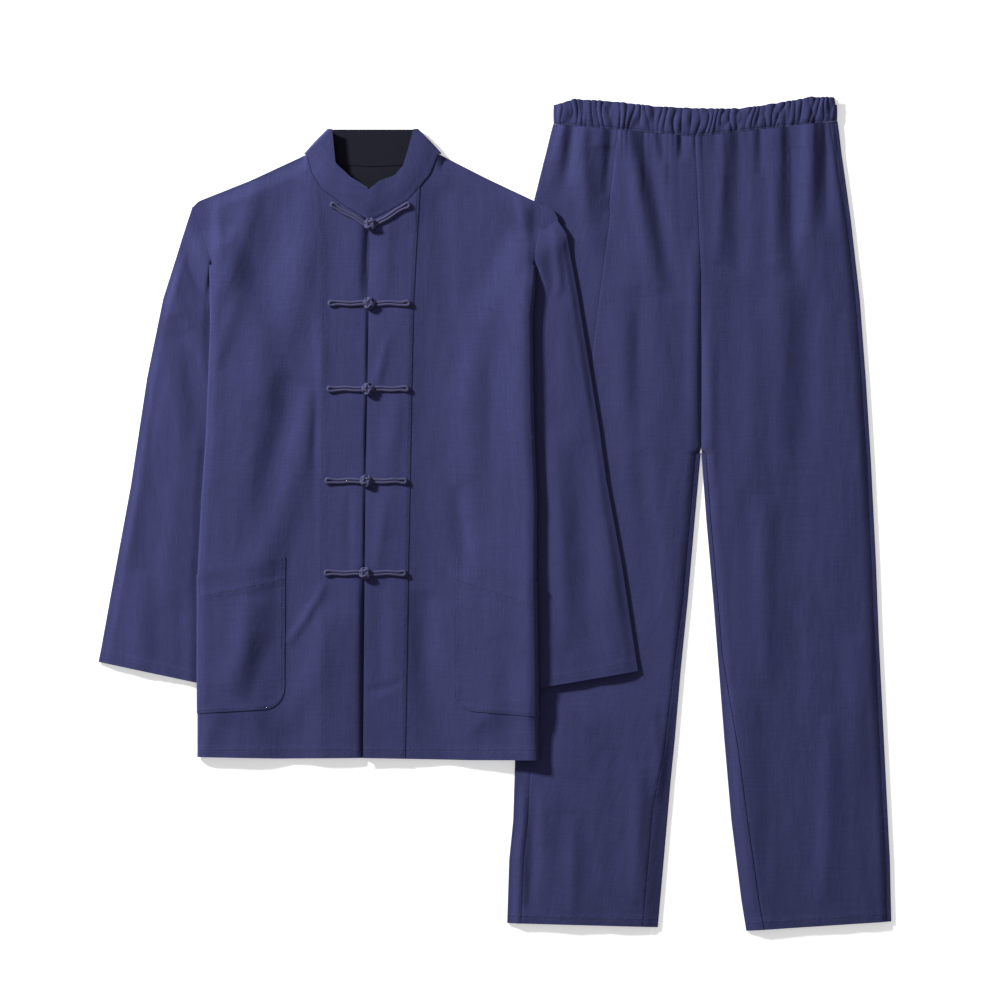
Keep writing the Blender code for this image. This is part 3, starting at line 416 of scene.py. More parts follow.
class Half:
    """One half of the jacket's body, with the outlines that its panels share."""

    def __init__(self, edge, shoulder, neck, hem, rows, pocket_x, side):
        tangent = shifted(edge, -side * (WALL / 2 + (TURN_STACK + FRONT_RISE) / 2))
        middle = ((OPENING[-1][0] + neck[-1][0]) / 2, BACK_NECK_Y + BACK_NECK_RISE)
        self.side = side
        self.neck_share = (neck[-1][0] - neck[0][0]) / (shoulder[-1][0] - neck[0][0])
        self.pocket_share = (pocket_x - hem[0][0]) / (tangent[0][0] - hem[0][0])
        self.outer = at_rows(tangent[:-1] + [edge[-1], shoulder[-1]],
                             [(r.share, r.side_y) for r in rows])
        self.opening = at_rows(OPENING, [(r.share, r.opening_y) for r in rows])
        self.front_top = joined(neck, shoulder, self.neck_share)
        self.back_top = joined([(OPENING[-1][0], BACK_NECK_Y), middle, neck[-1]], shoulder,
                               self.neck_share)
        self.hem = line(hem[:-1] + [tangent[0]])

    def point(self, s, f, back=False):
        s, f = np.broadcast_arrays(np.asarray(s, float), np.asarray(f, float))
        place = patch(self.hem, self.front_top, self.opening, self.outer, s, f)
        lift = f ** 8 * (self.back_top(s) - self.front_top(s))[..., 1] if back else 0.0
        return place[..., 0], place[..., 1] + lift

    def turn(self, y):
        """How much of the side is turned under at a height."""
        return TURN_DEPTH * np.minimum(1.0, (TURN_START_Y - y) / (TURN_START_Y - TURN_FULL_Y))


RIGHT = Half(BODY_EDGE_RIGHT, SHOULDER_RIGHT, NECK_RIGHT, HEM_RIGHT, RIGHT_ROWS,
             POCKET_RIGHT_X, -1)
LEFT = Half(BODY_EDGE_LEFT, SHOULDER_LEFT, NECK_LEFT, HEM_LEFT, LEFT_ROWS, POCKET_LEFT_X, 1)


def spread(*marks):
    """Shares through the marks, each given as the share and the cells up to it."""
    shares = [np.array([0.0])]
    for share, cells in marks:
        shares.append(np.linspace(shares[-1][-1], share, cells + 1)[1:])
    return np.concatenate(shares)


def round_edge(points, low, side, count=7):
    """A fold from each point down to a lower height, bulging to one side."""
    x, y, high = points[..., 0], points[..., 1], points[..., 2]
    radius = (high - low) / 2
    turns = [math.pi * (k + 1) / (count + 1) for k in range(count)]
    return np.stack([np.stack([x + side * radius * math.sin(a), y,
                               (high + low) / 2 + radius * math.cos(a)], -1) for a in turns], 1)


def turned_under(half, points, height, columns=8, depth=1.0):
    """The rest of a body panel: round the side fold and back underneath."""
    last = points[:, -1]
    x, y = last[:, 0], last[:, 1]
    fold = round_edge(last, height(x, y), half.side)
    shares = np.linspace(0, depth, columns + 1)
    inward = x[:, None] - half.side * half.turn(y)[:, None] * shares
    ys = np.repeat(y[:, None], columns + 1, 1)
    under = np.stack([inward, ys, height(inward, ys)], -1)
    rest = np.concatenate([fold, under], 1)
    rest[y >= TURN_START_Y - 0.001] = np.nan
    return np.concatenate([points, rest], 1)


class Yarn:
    """A socket of a material's nodes. Sums and products on it add their Math nodes."""

    def __init__(self, tree, socket=None):
        self.tree, self.socket = tree, socket

    def node(self, kind, settings=None, links=None, out=0):
        made = self.tree.nodes.new(kind)
        for key, value in (settings or {}).items():
            if key == "stops":
                made.color_ramp.elements[0].position, made.color_ramp.elements[1].position = value
            else:
                setattr(made, key, value)
        for key, value in (links or {}).items():
            if isinstance(value, Yarn):
                self.tree.links.new(value.socket, made.inputs[key])
            else:
                made.inputs[key].default_value = value
        return Yarn(self.tree, made.outputs[out])

    def math(self, operation, *values):
        return self.node("ShaderNodeMath", {"operation": operation}, dict(enumerate(values)))

    def __add__(self, other):
        return self.math("ADD", self, other)

    __radd__ = __add__

    def __mul__(self, other):
        return self.math("MULTIPLY", self, other)

    __rmul__ = __mul__

    def __sub__(self, other):
        return self.math("SUBTRACT", self, other)

    def __rsub__(self, other):
        return self.math("SUBTRACT", other, self)

    def scaled(self, x, y, z=1.0):
        return self.node("ShaderNodeVectorMath", {"operation": "MULTIPLY"}, {0: self, 1: (x, y, z)})

    def noise(self, scale, detail=2.0, roughness=0.5):
        return self.node("ShaderNodeTexNoise", {},
                         {"Vector": self, "Scale": scale, "Detail": detail,
                          "Roughness": roughness})

    def colour(self, other, factor):
        """This colour mixed with another by a factor."""
        mixed = self.node("ShaderNodeMix", {"data_type": "RGBA"}, {0: factor, 6: self, 7: other})
        return Yarn(self.tree, mixed.socket.node.outputs[2])


YARN = 0.0007
SLUB_LENGTH = 0.016


def woven(name, colour, lines=(), shade=1.0):
    """Navy cotton: slubbed yarns both ways, uneven dye, and a pucker along each sewn line, whose
    groove is darkened in colour as painted shade.

    A line is a part of the edges attribute, the distance from it where the stitches run, and
    how strongly the cloth puckers there.
    """
    material = bpy.data.materials.new(name)
    material.use_nodes = True
    tree = material.node_tree
    shader = tree.nodes["Principled BSDF"]
    start = Yarn(tree)
    uv = start.node("ShaderNodeUVMap", {"uv_map": "cloth"})
    warp = uv.scaled(1 / YARN, 1 / SLUB_LENGTH).noise(1.0, 1.5)
    weft = uv.scaled(1 / SLUB_LENGTH, 1 / YARN).noise(1.0, 1.5)
    slub = uv.scaled(1 / 0.0022, 1 / 0.045).noise(1.0, 2.0)
    cross_slub = uv.scaled(1 / 0.05, 1 / 0.0024).noise(1.0, 2.0)
    dye = uv.noise(9.0, 3.0, 0.6)
    crumple = uv.scaled(1.0, 0.45).noise(42.0, 3.0, 0.55)
    tone = (0.34 * (warp - 0.5) + 0.34 * (weft - 0.5) + 0.40 * (slub - 0.5)
            + 0.28 * (cross_slub - 0.5) + 0.26 * (dye - 0.5))
    height = 0.00022 * warp + 0.00022 * weft + 0.00012 * slub + 0.0016 * crumple
    if lines:
        edges = start.node("ShaderNodeAttribute", {"attribute_name": "edges"}, out=1)
        parts = edges.node("ShaderNodeSeparateXYZ", {}, {0: edges}).socket.node
        pucker = uv.noise(150.0, 2.0, 0.6)
        for part, distance, strength in lines:
            away = start.math("ABSOLUTE", Yarn(tree, parts.outputs[part]) - distance)
            groove = start.math("MAXIMUM", 1 - away * (1 / 0.0013), 0.0)
            reach = start.math("MAXIMUM", 1 - away * (1 / 0.008), 0.0)
            height = height - 0.0005 * strength * groove + 0.0022 * strength * (reach * pucker)
            # The darker tone in each stitched groove is painted shade
            tone = tone - 0.30 * strength * groove + 0.12 * strength * (reach * (pucker - 0.4))
    deep = tuple(c * shade * 0.55 for c in colour) + (1,)
    pale = tuple(c * shade * 1.45 for c in colour) + (1,)
    plain = start.node("ShaderNodeRGB")
    plain.socket.default_value = deep
    shader_colour = plain.colour(pale, start.math("MAXIMUM", start.math("MINIMUM", 0.5 + tone,
                                                                      1.0), 0.0))
    bump = start.node("ShaderNodeBump", {}, {"Strength": 0.55, "Distance": 1.0, "Height": height})
    tree.links.new(shader_colour.socket, shader.inputs["Base Color"])
    tree.links.new(bump.socket, shader.inputs["Normal"])
    shader.inputs["Roughness"].default_value = 0.9
    shader.inputs["Sheen Weight"].default_value = 0.06
    shader.inputs["Sheen Roughness"].default_value = 0.5
    shader.inputs["Specular IOR Level"].default_value = 0.25
    return material


NAVY = (0.0295, 0.0322, 0.1080)


def cloth(name, points, uv, edges, thickness, material, closed=False):
    """A panel of cloth on a grid of points, with its grain in a UV map; NaN leaves cells out."""
    rows, columns = points.shape[:2]
    kept = ~np.isnan(points[..., 2])
    number = np.full((rows, columns), -1)
    number[kept] = np.arange(kept.sum())
    after = np.roll(np.arange(columns), -1) if closed else np.arange(1, columns)
    here = np.arange(len(after))
    cells = np.stack([number[:-1][:, here], number[:-1][:, after],
                      number[1:][:, after], number[1:][:, here]], -1).reshape(-1, 4)
    cells = cells[(cells >= 0).all(1)]
    mesh = bpy.data.meshes.new(name)
    mesh.from_pydata(points[kept].tolist(), [], cells.tolist())
    grain = mesh.uv_layers.new(name="cloth")
    corners = np.zeros(len(mesh.loops), np.int32)
    mesh.loops.foreach_get("vertex_index", corners)
    grain.data.foreach_set("uv", uv[kept][corners].astype(np.float32).ravel())
    near = mesh.attributes.new("edges", "FLOAT_VECTOR", "POINT")
    near.data.foreach_set("vector", edges[kept].astype(np.float32).ravel())
    mesh.materials.append(material)
    piece = bpy.data.objects.new(name, mesh)
    bpy.context.scene.collection.objects.link(piece)
    solid = piece.modifiers.new("thickness", "SOLIDIFY")
    solid.thickness = thickness
    solid.offset = 0.0
    solid.use_even_offset = True
    bpy.ops.object.select_all(action="DESELECT")
    piece.select_set(True)
    bpy.context.view_layer.objects.active = piece
    bpy.ops.object.modifier_apply(modifier="thickness")
    bpy.ops.object.shade_smooth_by_angle(angle=math.radians(50))
    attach(piece, "root")
    return piece


def grain_of(points):
    """Distances across and along a grid of points, as its UV map."""
    filled = np.where(np.isnan(points), 0.0, points)
    across = np.linalg.norm(np.diff(filled, axis=1), axis=2)
    across[np.isnan(points[:, 1:, 0])] = 0.0
    u = np.concatenate([np.zeros((len(points), 1)), np.cumsum(across, 1)], 1)
    return np.stack([u + filled[:, :1, 0], filled[..., 1]], -1)


BODY_SHARES = spread((0.015, 1), (POCKET_LOW, 18), (POCKET_HIGH, 48), (UNDERARM, 108), (1.0, 32))

# Narrow columns beside the opening, where the right front dips
EDGE_SHARE, EDGE_COLUMNS, BAND_COLUMNS = 0.06, 14, 12


def columns_of(half):
    return spread((EDGE_SHARE, EDGE_COLUMNS), (BAND_SHARE, BAND_COLUMNS),
                  (half.neck_share, 9), (half.pocket_share, 8), (1.0, 28))


def body_points(half, height, shares, back=False):
    x, y = half.point(shares[None, :], BODY_SHARES[:, None], back)
    return np.stack([x, y, height(x, y)], -1)


def body_edges(half, points, seam_share):
    """Distances from the hem and from a seam that runs up the half; the third part repeats the
    seam's.
    """
    x, y = points[..., 0], points[..., 1]
    seam_x = half.point(seam_share, BODY_SHARES[:, None])[0]
    return np.stack([y - HEM_RIGHT[0][1], np.abs(x - seam_x), np.abs(x - seam_x)], -1)


back_cotton = woven("back_cotton", NAVY, [(0, HEM_DEPTH, 0.6)])
front_cotton = woven("front_cotton", NAVY, [(0, HEM_DEPTH, 0.6), (1, 0.0, 0.15)])
facing_cotton = woven("facing_cotton", NAVY, [(0, HEM_DEPTH, 0.6), (1, 0.0, 0.45)])

BACK_COLUMNS = spread((LEFT.neck_share, 12), (1.0, 20))
back_halves = []
for half in (RIGHT, LEFT):
    flat_part = body_points(half, back_z, BACK_COLUMNS, back=True)
    back_halves.append(turned_under(half, flat_part, turned_back_z))
back_points = np.concatenate([back_halves[0][:, :0:-1], back_halves[1]], 1)
jacket_back = cloth("back_of_jacket", back_points, grain_of(back_points),
                    np.stack([back_points[..., 1] - HEM_RIGHT[0][1]] * 3, -1), COTTON, back_cotton)
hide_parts("jacket_back")

right_columns, left_columns = columns_of(RIGHT), columns_of(LEFT)
right_flat = body_points(RIGHT, right_front_z, right_columns)
lap_shares = np.linspace(1.0, 0.0, 13)[:-1] ** 1.8
lap_x = right_flat[:, :1, 0] + lap_shares * UNDERLAP
lap_y = np.repeat(right_flat[:, :1, 1], len(lap_shares), 1)
lap_points = np.stack([lap_x, lap_y, right_front_z(lap_x, lap_y) - 0.0002], -1)
right_points = np.concatenate([lap_points, right_flat], 1)
left_flat = body_points(LEFT, left_front_z, left_columns)

# The shoulder seam: the front's top edge comes down to just above the back's
for half, flat_part, columns in ((RIGHT, right_flat, right_columns),
                                 (LEFT, left_flat, left_columns)):
    shoulder = columns > half.neck_share + 0.01
    x, y = flat_part[-1, shoulder, 0], flat_part[-1, shoulder, 1]
    drop = flat_part[-1, shoulder, 2] - (back_z(x, y) + WALL + SEAM)
    for step in range(1, 9):
        flat_part[-step, shoulder, 2] -= drop * ease((9 - step) / 8)
right_points[:, len(lap_shares):] = right_flat

right_points = turned_under(RIGHT, right_points, turned_front_z)
left_points = turned_under(LEFT, left_flat, turned_front_z)
front_right = cloth("right_front", right_points, grain_of(right_points),
                    body_edges(RIGHT, right_points, BAND_SHARE), COTTON, facing_cotton)
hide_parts("jacket_front_right")
front_left = cloth("left_front", left_points, grain_of(left_points),
                   body_edges(LEFT, left_points, BAND_SHARE), COTTON, front_cotton)
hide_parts("jacket_front_left")

# Centre band
# A strip of the same cotton sewn down the left front's edge, with its seam side to the right.

band_columns = np.linspace(0, BAND_SHARE, 17)
band_x, band_y = LEFT.point(band_columns[None, :], BODY_SHARES[:, None])
band_points = np.stack([band_x, band_y, left_front_z(band_x, band_y) + BAND_RISE], -1)
band_points[:, 0, 2] -= 0.0003
band_points[:, -1, 2] -= 0.0003
band_side = band_x[:, -1:] - band_x
band_edges = np.stack([band_y - HEM_RIGHT[0][1], band_side, band_x - band_x[:, :1]], -1)
band_cotton = woven("band_cotton", NAVY, [(0, HEM_DEPTH, 0.6), (1, 0.0025, 0.5)])
band = cloth("centre_band", band_points, grain_of(band_points), band_edges, COTTON, band_cotton)
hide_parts("jacket_front_band")

# Patch pockets
# Two patches with a rounded lower inner corner and a deep stitched hem, sewn on three sides. Each
# goes round the jacket's side fold with the front that carries it.

POCKET_CORNER = 0.024
POCKET_HEM = 0.028
pocket_cotton = woven("pocket_cotton", NAVY,
                      [(0, POCKET_HEM, 0.8), (1, 0.0022, 0.6), (2, 0.0022, 0.6)])


def pocket(name, node, half, front):
    """The patch, as a grid that is stacked on the front's own surface."""
    near_edge = (np.linspace(0, 1, 9) ** 1.8) * 0.28
    columns = mix(half.pocket_share, 1.0, np.concatenate([near_edge, np.linspace(0.28, 1, 23)[1:]]))
    rows = np.linspace(0, 1, 58)
    inner_x = half.point(half.pocket_share, POCKET_LOW)[0]
    at_x = half.point(columns, POCKET_LOW)[0]
    inside = np.clip(np.abs(at_x - inner_x), 0, POCKET_CORNER)
    lift = POCKET_CORNER - np.sqrt(POCKET_CORNER ** 2 - (POCKET_CORNER - inside) ** 2)
    low_y, high_y = half.point(columns, POCKET_LOW)[1], half.point(columns, POCKET_HIGH)[1]
    lowest = POCKET_LOW + (POCKET_HIGH - POCKET_LOW) * lift / (high_y - low_y)
    f = mix(lowest[None, :], POCKET_HIGH, rows[:, None])
    x, y = half.point(np.repeat(columns[None, :], len(rows), 0), f)
    z = front(x, y) + POCKET_RISE
    mouth = 0.0007 * ease((y - high_y + 0.012) / 0.012) * ease(inside / POCKET_CORNER)
    points = np.stack([x, y, z + mouth], -1)
    full = turned_under(half, points, lambda a, b: pile(a, b) + WALL / 2, 6, 0.667)
    edges = np.zeros(full.shape)
    edges[..., 0] = half.point(columns, POCKET_HIGH)[1].max() - full[..., 1]
    edges[:, :x.shape[1], 0] = high_y - y
    edges[..., 1] = np.abs(full[..., 0] - inner_x)
    edges[..., 2] = full[..., 1] - half.point(1.0, POCKET_LOW)[1]
    edges[:, :x.shape[1], 2] = y - y[:1]
    piece = cloth(name, full, grain_of(full), edges, COTTON, pocket_cotton)
    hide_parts(node)
    return points


pocket_right_points = pocket("right_pocket", "pocket_right", RIGHT, right_front_z)
pocket_left_points = pocket("left_pocket", "pocket_left", LEFT, left_front_z)

# Sleeves
# Each is a tapered tube of the same cotton, seamed under the arm and set into the armhole, with
# a narrow stitched hem at the cuff. The left one lies on the trousers, the right one on the floor.

SLEEVE_RIGHT_OUTER = [(-0.4836, -0.1806), (-0.4680, -0.0939), (-0.4444, 0.0342),
                      (-0.4246, 0.1659), (-0.4050, 0.2623), (-0.3799, 0.3416), (-0.3703, 0.3745)]
SLEEVE_RIGHT_INNER = [(-0.3209, -0.2147), (-0.2989, 0.2245)]
SLEEVE_LEFT_OUTER = [(0.1751, -0.1915), (0.1554, -0.0610), (0.1365, 0.0415), (0.1277, 0.1061),
                     (0.1013, 0.2684), (0.0878, 0.3416), (0.0700, 0.3690), (0.0602, 0.3758)]
SLEEVE_LEFT_INNER = [(0.0098, -0.2196), (-0.0020, 0.2245)]
CAP_SHARE = 3 / 8
CAP_LIFT, CAP_LIFT_RADIUS, CAP_PUFF = 0.004, 0.060, 0.3
SLEEVE_CROWN = 0.0024
CUFF_HEM, SLEEVE_LENGTH, ALLOWANCE_LENGTH = 0.012, 0.58, 0.003
CAP_JOIN_START, CAP_JOIN_SHARE, CAP_JOIN_SPREAD = 0.90, CAP_SHARE + 0.04, 0.06
SLEEVE_CREASES = [
    Crease(184, 234, 198, 268, 214, 304, 9, 1.2, -3.6),
    Crease(188, 208, 198, 236, 208, 268, 5, 1.2, 1.8),
    Crease(172, 268, 176, 300, 190, 330, 9, 1.2, 2.0),
    Crease(176, 316, 192, 372, 210, 444, 12, 1.4, -3.4),
    Crease(176, 340, 178, 400, 180, 474, 12, 1.3, 2.0),
    Crease(130, 436, 130, 500, 126, 566, 12, 1.0, 1.7),
    Crease(176, 470, 172, 540, 170, 610, 12, 1.0, 1.4),
    Crease(140, 574, 142, 630, 140, 692, 12, 1.0, 2.8),
    Crease(182, 590, 182, 640, 182, 692, 8, 1.0, -1.2),
    Crease(157, 660, 157, 672, 159, 684, 1.8, 1.0, 0.8),
    Crease(166, 662, 166, 674, 168, 684, 1.8, 1.0, 0.7),
    Crease(547, 202, 546, 218, 543, 236, 4, 1.0, 1.8),
    Crease(552, 224, 556, 254, 560, 294, 5, 1.0, 2.4),
    Crease(562, 300, 564, 350, 568, 410, 10, 1.0, 1.6),
    Crease(556, 430, 560, 530, 566, 650, 9, 1.0, 2.4),
    Crease(580, 440, 584, 540, 590, 650, 12, 1.0, -2.4),
    Crease(606, 520, 610, 590, 616, 680, 10, 1.2, 1.6),
]
sleeve_cotton = woven("sleeve_cotton", NAVY, [(0, CUFF_HEM, 0.45)])


def sleeve(name, node, outer, inner, underarm, side, lies_on, clear_of, lift_at):
    """A flattened tube from cuff to cap, its underarm part beneath the jacket's body."""
    inset = TUBE_RADIUS + WALL / 2
    outer_edge, inner_edge = line(shifted(outer, -side * inset)), line(shifted(inner, side * inset))
    cuff = line([outer_edge(0.0), inner_edge(0.0)])
    top = joined([outer_edge(1.0), underarm], [underarm, inner_edge(1.0)], CAP_SHARE)
    rows = spread((CUFF_HEM / SLEEVE_LENGTH, 3), (0.8, 112), (1.0, 36))[:, None]

    def layer(columns, raised):
        s, f = np.broadcast_arrays(columns[None, :], rows)
        place = patch(cuff, top, outer_edge, inner_edge, s, f)
        x, y = place[..., 0], place[..., 1]
        away = np.hypot(x - lift_at[0], y - lift_at[1])
        lift = CAP_LIFT * ease(1 - away / CAP_LIFT_RADIUS)
        z = lies_on(x, y) + WALL / 2 + lift
        if raised:
            clear = ease(side * (x - x_at(clear_of, y)) / 0.014 + 0.15) * ease(s / 0.08)
            rise = SLEEVE_CROWN + creased(x, y, SLEEVE_CREASES)
            rise = rise + swells(x, y, 7.0, 0.04, 0.12, 0.0011)
            hem = HEM_THICKNESS * ease((CUFF_HEM - f * SLEEVE_LENGTH) / HEM_STEP + 0.5)
            z = z + 2 * TUBE_RADIUS + CAP_PUFF * lift + clear * np.maximum(rise, 0.1 * rise) + hem
            cap_join = (ease((f - CAP_JOIN_START) / (1 - CAP_JOIN_START))
                        * ease((CAP_JOIN_SHARE - s) / CAP_JOIN_SPREAD))
            z = mix(z, back_z(x, y) + FRONT_RISE, cap_join)
        return np.stack([x, y, z], -1)

    upper = layer(np.linspace(0, 1, 49), True)
    lower = layer(np.linspace(0, 1, 13), False)
    inner_fold = round_edge(upper[:, -1], lower[:, -1, 2], -side, 5)
    outer_fold = round_edge(upper[:, 0], lower[:, 0, 2], side, 5)
    points = np.concatenate([upper, inner_fold, lower[:, ::-1], outer_fold[:, ::-1]], 1)

    # The cap's seam allowance lies between the body's front and back
    allowance = np.full(points[-1:].shape, np.nan)
    cap = slice(0, int(CAP_SHARE * 48) + 1)
    allowance[0, cap] = points[-1, cap] + (-side * 0.0028, -0.0004, 0.0)
    allowance[0, cap, 2] = back_z(allowance[0, cap, 0], allowance[0, cap, 1]) + 0.00065
    points = np.concatenate([points, allowance])
    down = np.append(rows * SLEEVE_LENGTH, SLEEVE_LENGTH + ALLOWANCE_LENGTH)[:, None]
    uv = grain_of(points)
    uv[..., 1] = down
    edges = np.stack([np.broadcast_to(down, points.shape[:2])] * 3, -1)
    piece = cloth(name, points, uv, edges, COTTON, sleeve_cotton, closed=True)
    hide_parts(node)
    return upper


sleeve_right_points = sleeve(
    "right_sleeve", "sleeve_right", SLEEVE_RIGHT_OUTER, SLEEVE_RIGHT_INNER, (-0.3458, 0.3074), -1,
    lambda x, y: np.zeros(np.shape(x)), BODY_EDGE_RIGHT, (-0.3900, 0.4000))
sleeve_left_points = sleeve(
    "left_sleeve", "sleeve_left", SLEEVE_LEFT_OUTER, SLEEVE_LEFT_INNER, (0.0469, 0.3074), 1,
    on_trousers, BODY_EDGE_LEFT, (0.0750, 0.3700))

# Collar
# A stand collar of doubled cotton, sewn round the neck. It stands in front, its left end laps
# over the right one, and behind the neck it lies flat, inner side up, coloured near black as
# painted shade for the hollow inside the collar.

COLLAR_WALL, COLLAR_TOP_Z, COLLAR_SEAM = 0.0016, 0.0115, 0.0006
COLLAR_LAP, COLLAR_LAP_X, COLLAR_LAP_SPREAD = 0.0024, -0.125, 0.025
COLLAR_END_ROUND, NECK_LAP = 0.003, 0.0005
LEFT_HIGH = [(-0.1600, 0.3910), (-0.1403, 0.4063), (-0.1220, 0.4128), (-0.1122, 0.4246),
             (-0.1061, 0.4441), (-0.0995, 0.4690)]
RIGHT_HIGH = [(-0.1985, 0.4690), (-0.1943, 0.4277), (-0.1762, 0.4111), (-0.1550, 0.3977)]


def neck_line(half, shares):
    """The collar's lower edge: just inside the front's neck edge."""
    s = shares * half.neck_share
    x, y = half.point(s, 1.0)
    ahead, behind = half.point(s + 0.004, 1.0), half.point(np.maximum(s - 0.004, 0), 1.0)
    run = np.stack([ahead[0] - behind[0], ahead[1] - behind[1]], -1)
    run /= np.linalg.norm(run, axis=-1, keepdims=True)
    away = half.side * COLLAR_SEAM
    return x - run[:, 1] * away, y + run[:, 0] * away


v = np.linspace(0, 1, 11)[:, None]
t = np.linspace(0, 1, 31)
low_x, low_y = neck_line(LEFT, t)
high = line(LEFT_HIGH)(t)
x, y = mix(low_x, high[:, 0], v), mix(low_y, high[:, 1], v)
x[:, 0] -= COLLAR_END_ROUND * np.sin(math.pi * v[:, 0])
lap = COLLAR_LAP * ease((COLLAR_LAP_X - x) / COLLAR_LAP_SPREAD)
belly = 0.0012 * np.sin(math.pi * v)
left_part = np.stack([x, y, mix(left_front_z(low_x, low_y) + LAYER, COLLAR_TOP_Z + lap, v)
                      + belly], -1)
low_x, low_y = neck_line(RIGHT, t[::-1])
high = line(RIGHT_HIGH)(t)
x, y = mix(low_x, high[:, 0], v), mix(low_y, high[:, 1], v)
right_part = np.stack([x, y, mix(front_z(low_x, low_y), COLLAR_TOP_Z, v)
                       + belly * ease((OPENING_X - 0.008 - x) / 0.02)], -1)
neck_steps = np.linspace(0, 1, 12)[:-1]
back_neck = [np.column_stack(half.point(steps * half.neck_share, 1.0, back=True)) - (0, NECK_LAP)
             for half, steps in ((LEFT, neck_steps[::-1]), (RIGHT, neck_steps[1:]))]
back_low = line([left_part[0, -1, :2], *back_neck[0], *back_neck[1], right_part[0, 0, :2]])
back_high = line([left_part[-1, -1, :2], right_part[-1, 0, :2]])
b = np.linspace(0, 1, 25)
back_xy = mix(back_low(b)[None], back_high(b)[None], v[..., None])
back_part = np.concatenate([back_xy, np.full(back_xy.shape[:2] + (1,), COLLAR_WALL / 2 + 5e-5)], -1)
left_fold = round_edge(left_part[:, -1], back_part[:, 0, 2], 1)
right_fold = round_edge(right_part[:, 0], back_part[:, -1, 2], -1)
collar_points = np.concatenate([left_part, left_fold, back_part, right_fold[:, ::-1],
                                right_part], 1)
collar_uv = grain_of(collar_points)
collar_uv[..., 1] = v * 0.04
collar_edges = np.stack([np.broadcast_to(v * 0.04, collar_points.shape[:2])] * 3, -1)
collar_cotton = woven("collar_cotton", NAVY, [(0, 0.0, 0.6), (0, 0.0375, 0.25)])
# Near-black cotton: painted shade for the hollow inside the neck
painted_shade_cotton = woven("painted_shade_cotton", (0.0045, 0.0045, 0.0125))
painted_shade_cotton.node_tree.nodes["Principled BSDF"].inputs["Sheen Weight"].default_value = 0.0
collar = cloth("stand_collar", collar_points, collar_uv, collar_edges, 0.0015, collar_cotton)
collar.data.materials.append(painted_shade_cotton)
# The collar's flat part behind the neck takes the painted shade
for face in collar.data.polygons:
    middle = face.center
    if middle.z < 0.0040 and middle.y > 0.418:
        face.material_index = 1
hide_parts("collar")

# The back's neck, seen inside the collar, takes the same painted shade
jacket_back.data.materials.append(painted_shade_cotton)
for face in jacket_back.data.polygons:
    middle = face.center
    if middle.y > 0.350 and beyond(middle.x, middle.y, NECK_OUTLINE) < 0.002:
        face.material_index = 1

# Frog closures
# Each is a fabric cord folded into a long double strand on either side of the opening and sewn
# down. The left one ends in a ball knot, which the right one's loop goes round.

Frog = namedtuple("Frog", "y end_y")
FROGS = [Frog(0.3530, 0.3770), Frog(0.2568, 0.2568), Frog(0.1525, 0.1525), Frog(0.0403, 0.0403),
         Frog(-0.0720, -0.0720)]
FROG_REACH, SLANT_SHORTER, KNOT_OFFSET = 0.0475, 0.0015, 0.0005
LOOP_START, STRANDS_START = 0.0045, 0.0062
CORD_RADIUS, STRAND_OFFSET, END_OFFSET, END_SWELL = 0.0018, 0.0017, 0.0024, 0.14
KNOT_RADIUS, KNOT_CORD, KNOT_FLATNESS, KNOT_LIFT = 0.0058, 0.0018, 0.50, 0.0034

frog_cotton = bpy.data.materials.new("frog_cotton")
frog_cotton.use_nodes = True
frog_tree = frog_cotton.node_tree
place = Yarn(frog_tree).node("ShaderNodeTexCoord", out=3)
bias = place.node("ShaderNodeMapping", {}, {"Vector": place, "Rotation": (0, 0, math.radians(40)),
                                            "Scale": (1.0, 0.25, 1.0)}).noise(1500.0, 2.0)
patchy = place.noise(220.0, 2.0)
frog_ground = place.node("ShaderNodeRGB")
frog_ground.socket.default_value = (0.0225, 0.0230, 0.0700, 1)
frog_colour = frog_ground.colour((0.0470, 0.0490, 0.1320, 1), 0.55 * bias + 0.45 * patchy)
frog_bump = place.node("ShaderNodeBump", {}, {"Strength": 0.6, "Distance": 1.0,
                                              "Height": 0.0003 * bias})
frog_shader = frog_tree.nodes["Principled BSDF"]
frog_tree.links.new(frog_colour.socket, frog_shader.inputs["Base Color"])
frog_tree.links.new(frog_bump.socket, frog_shader.inputs["Normal"])
frog_shader.inputs["Roughness"].default_value = 0.8


def surface_z(x, y):
    """The top of the jacket's centre front: the band, or the right front."""
    x, y = np.atleast_1d(x), np.atleast_1d(y)
    lap = ease((x - x_at(OPENING, y) + 0.003) / 0.003)
    return mix(front_z(x, y), left_front_z(x, y) + BAND_RISE, lap) + WALL / 2


def cord_piece(name, node, points, radius, swell=None):
    """A closed fabric cord through the points, thicker where it is folded."""
    curve = bpy.data.curves.new(name, "CURVE")
    curve.dimensions = "3D"
    curve.bevel_depth = radius
    curve.bevel_resolution = 3
    curve.resolution_u = 5
    spline = curve.splines.new("NURBS")
    spline.points.add(len(points) - 1)
    spline.use_cyclic_u = True
    spline.order_u = 4
    swell = np.ones(len(points)) if swell is None else swell
    for target, point, size in zip(spline.points, points, swell):
        target.co = (*point, 1.0)
        target.radius = size
    draft = bpy.data.objects.new(name + "_draft", curve)
    bpy.context.scene.collection.objects.link(draft)
    mesh = bpy.data.meshes.new_from_object(
        draft.evaluated_get(bpy.context.evaluated_depsgraph_get()))
    bpy.data.objects.remove(draft)
    mesh.materials.clear()
    mesh.materials.append(frog_cotton)
    mesh.shade_smooth()
    piece = bpy.data.objects.new(name, mesh)
    bpy.context.scene.collection.objects.link(piece)
    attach(piece, "root")
    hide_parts(node)
    return piece


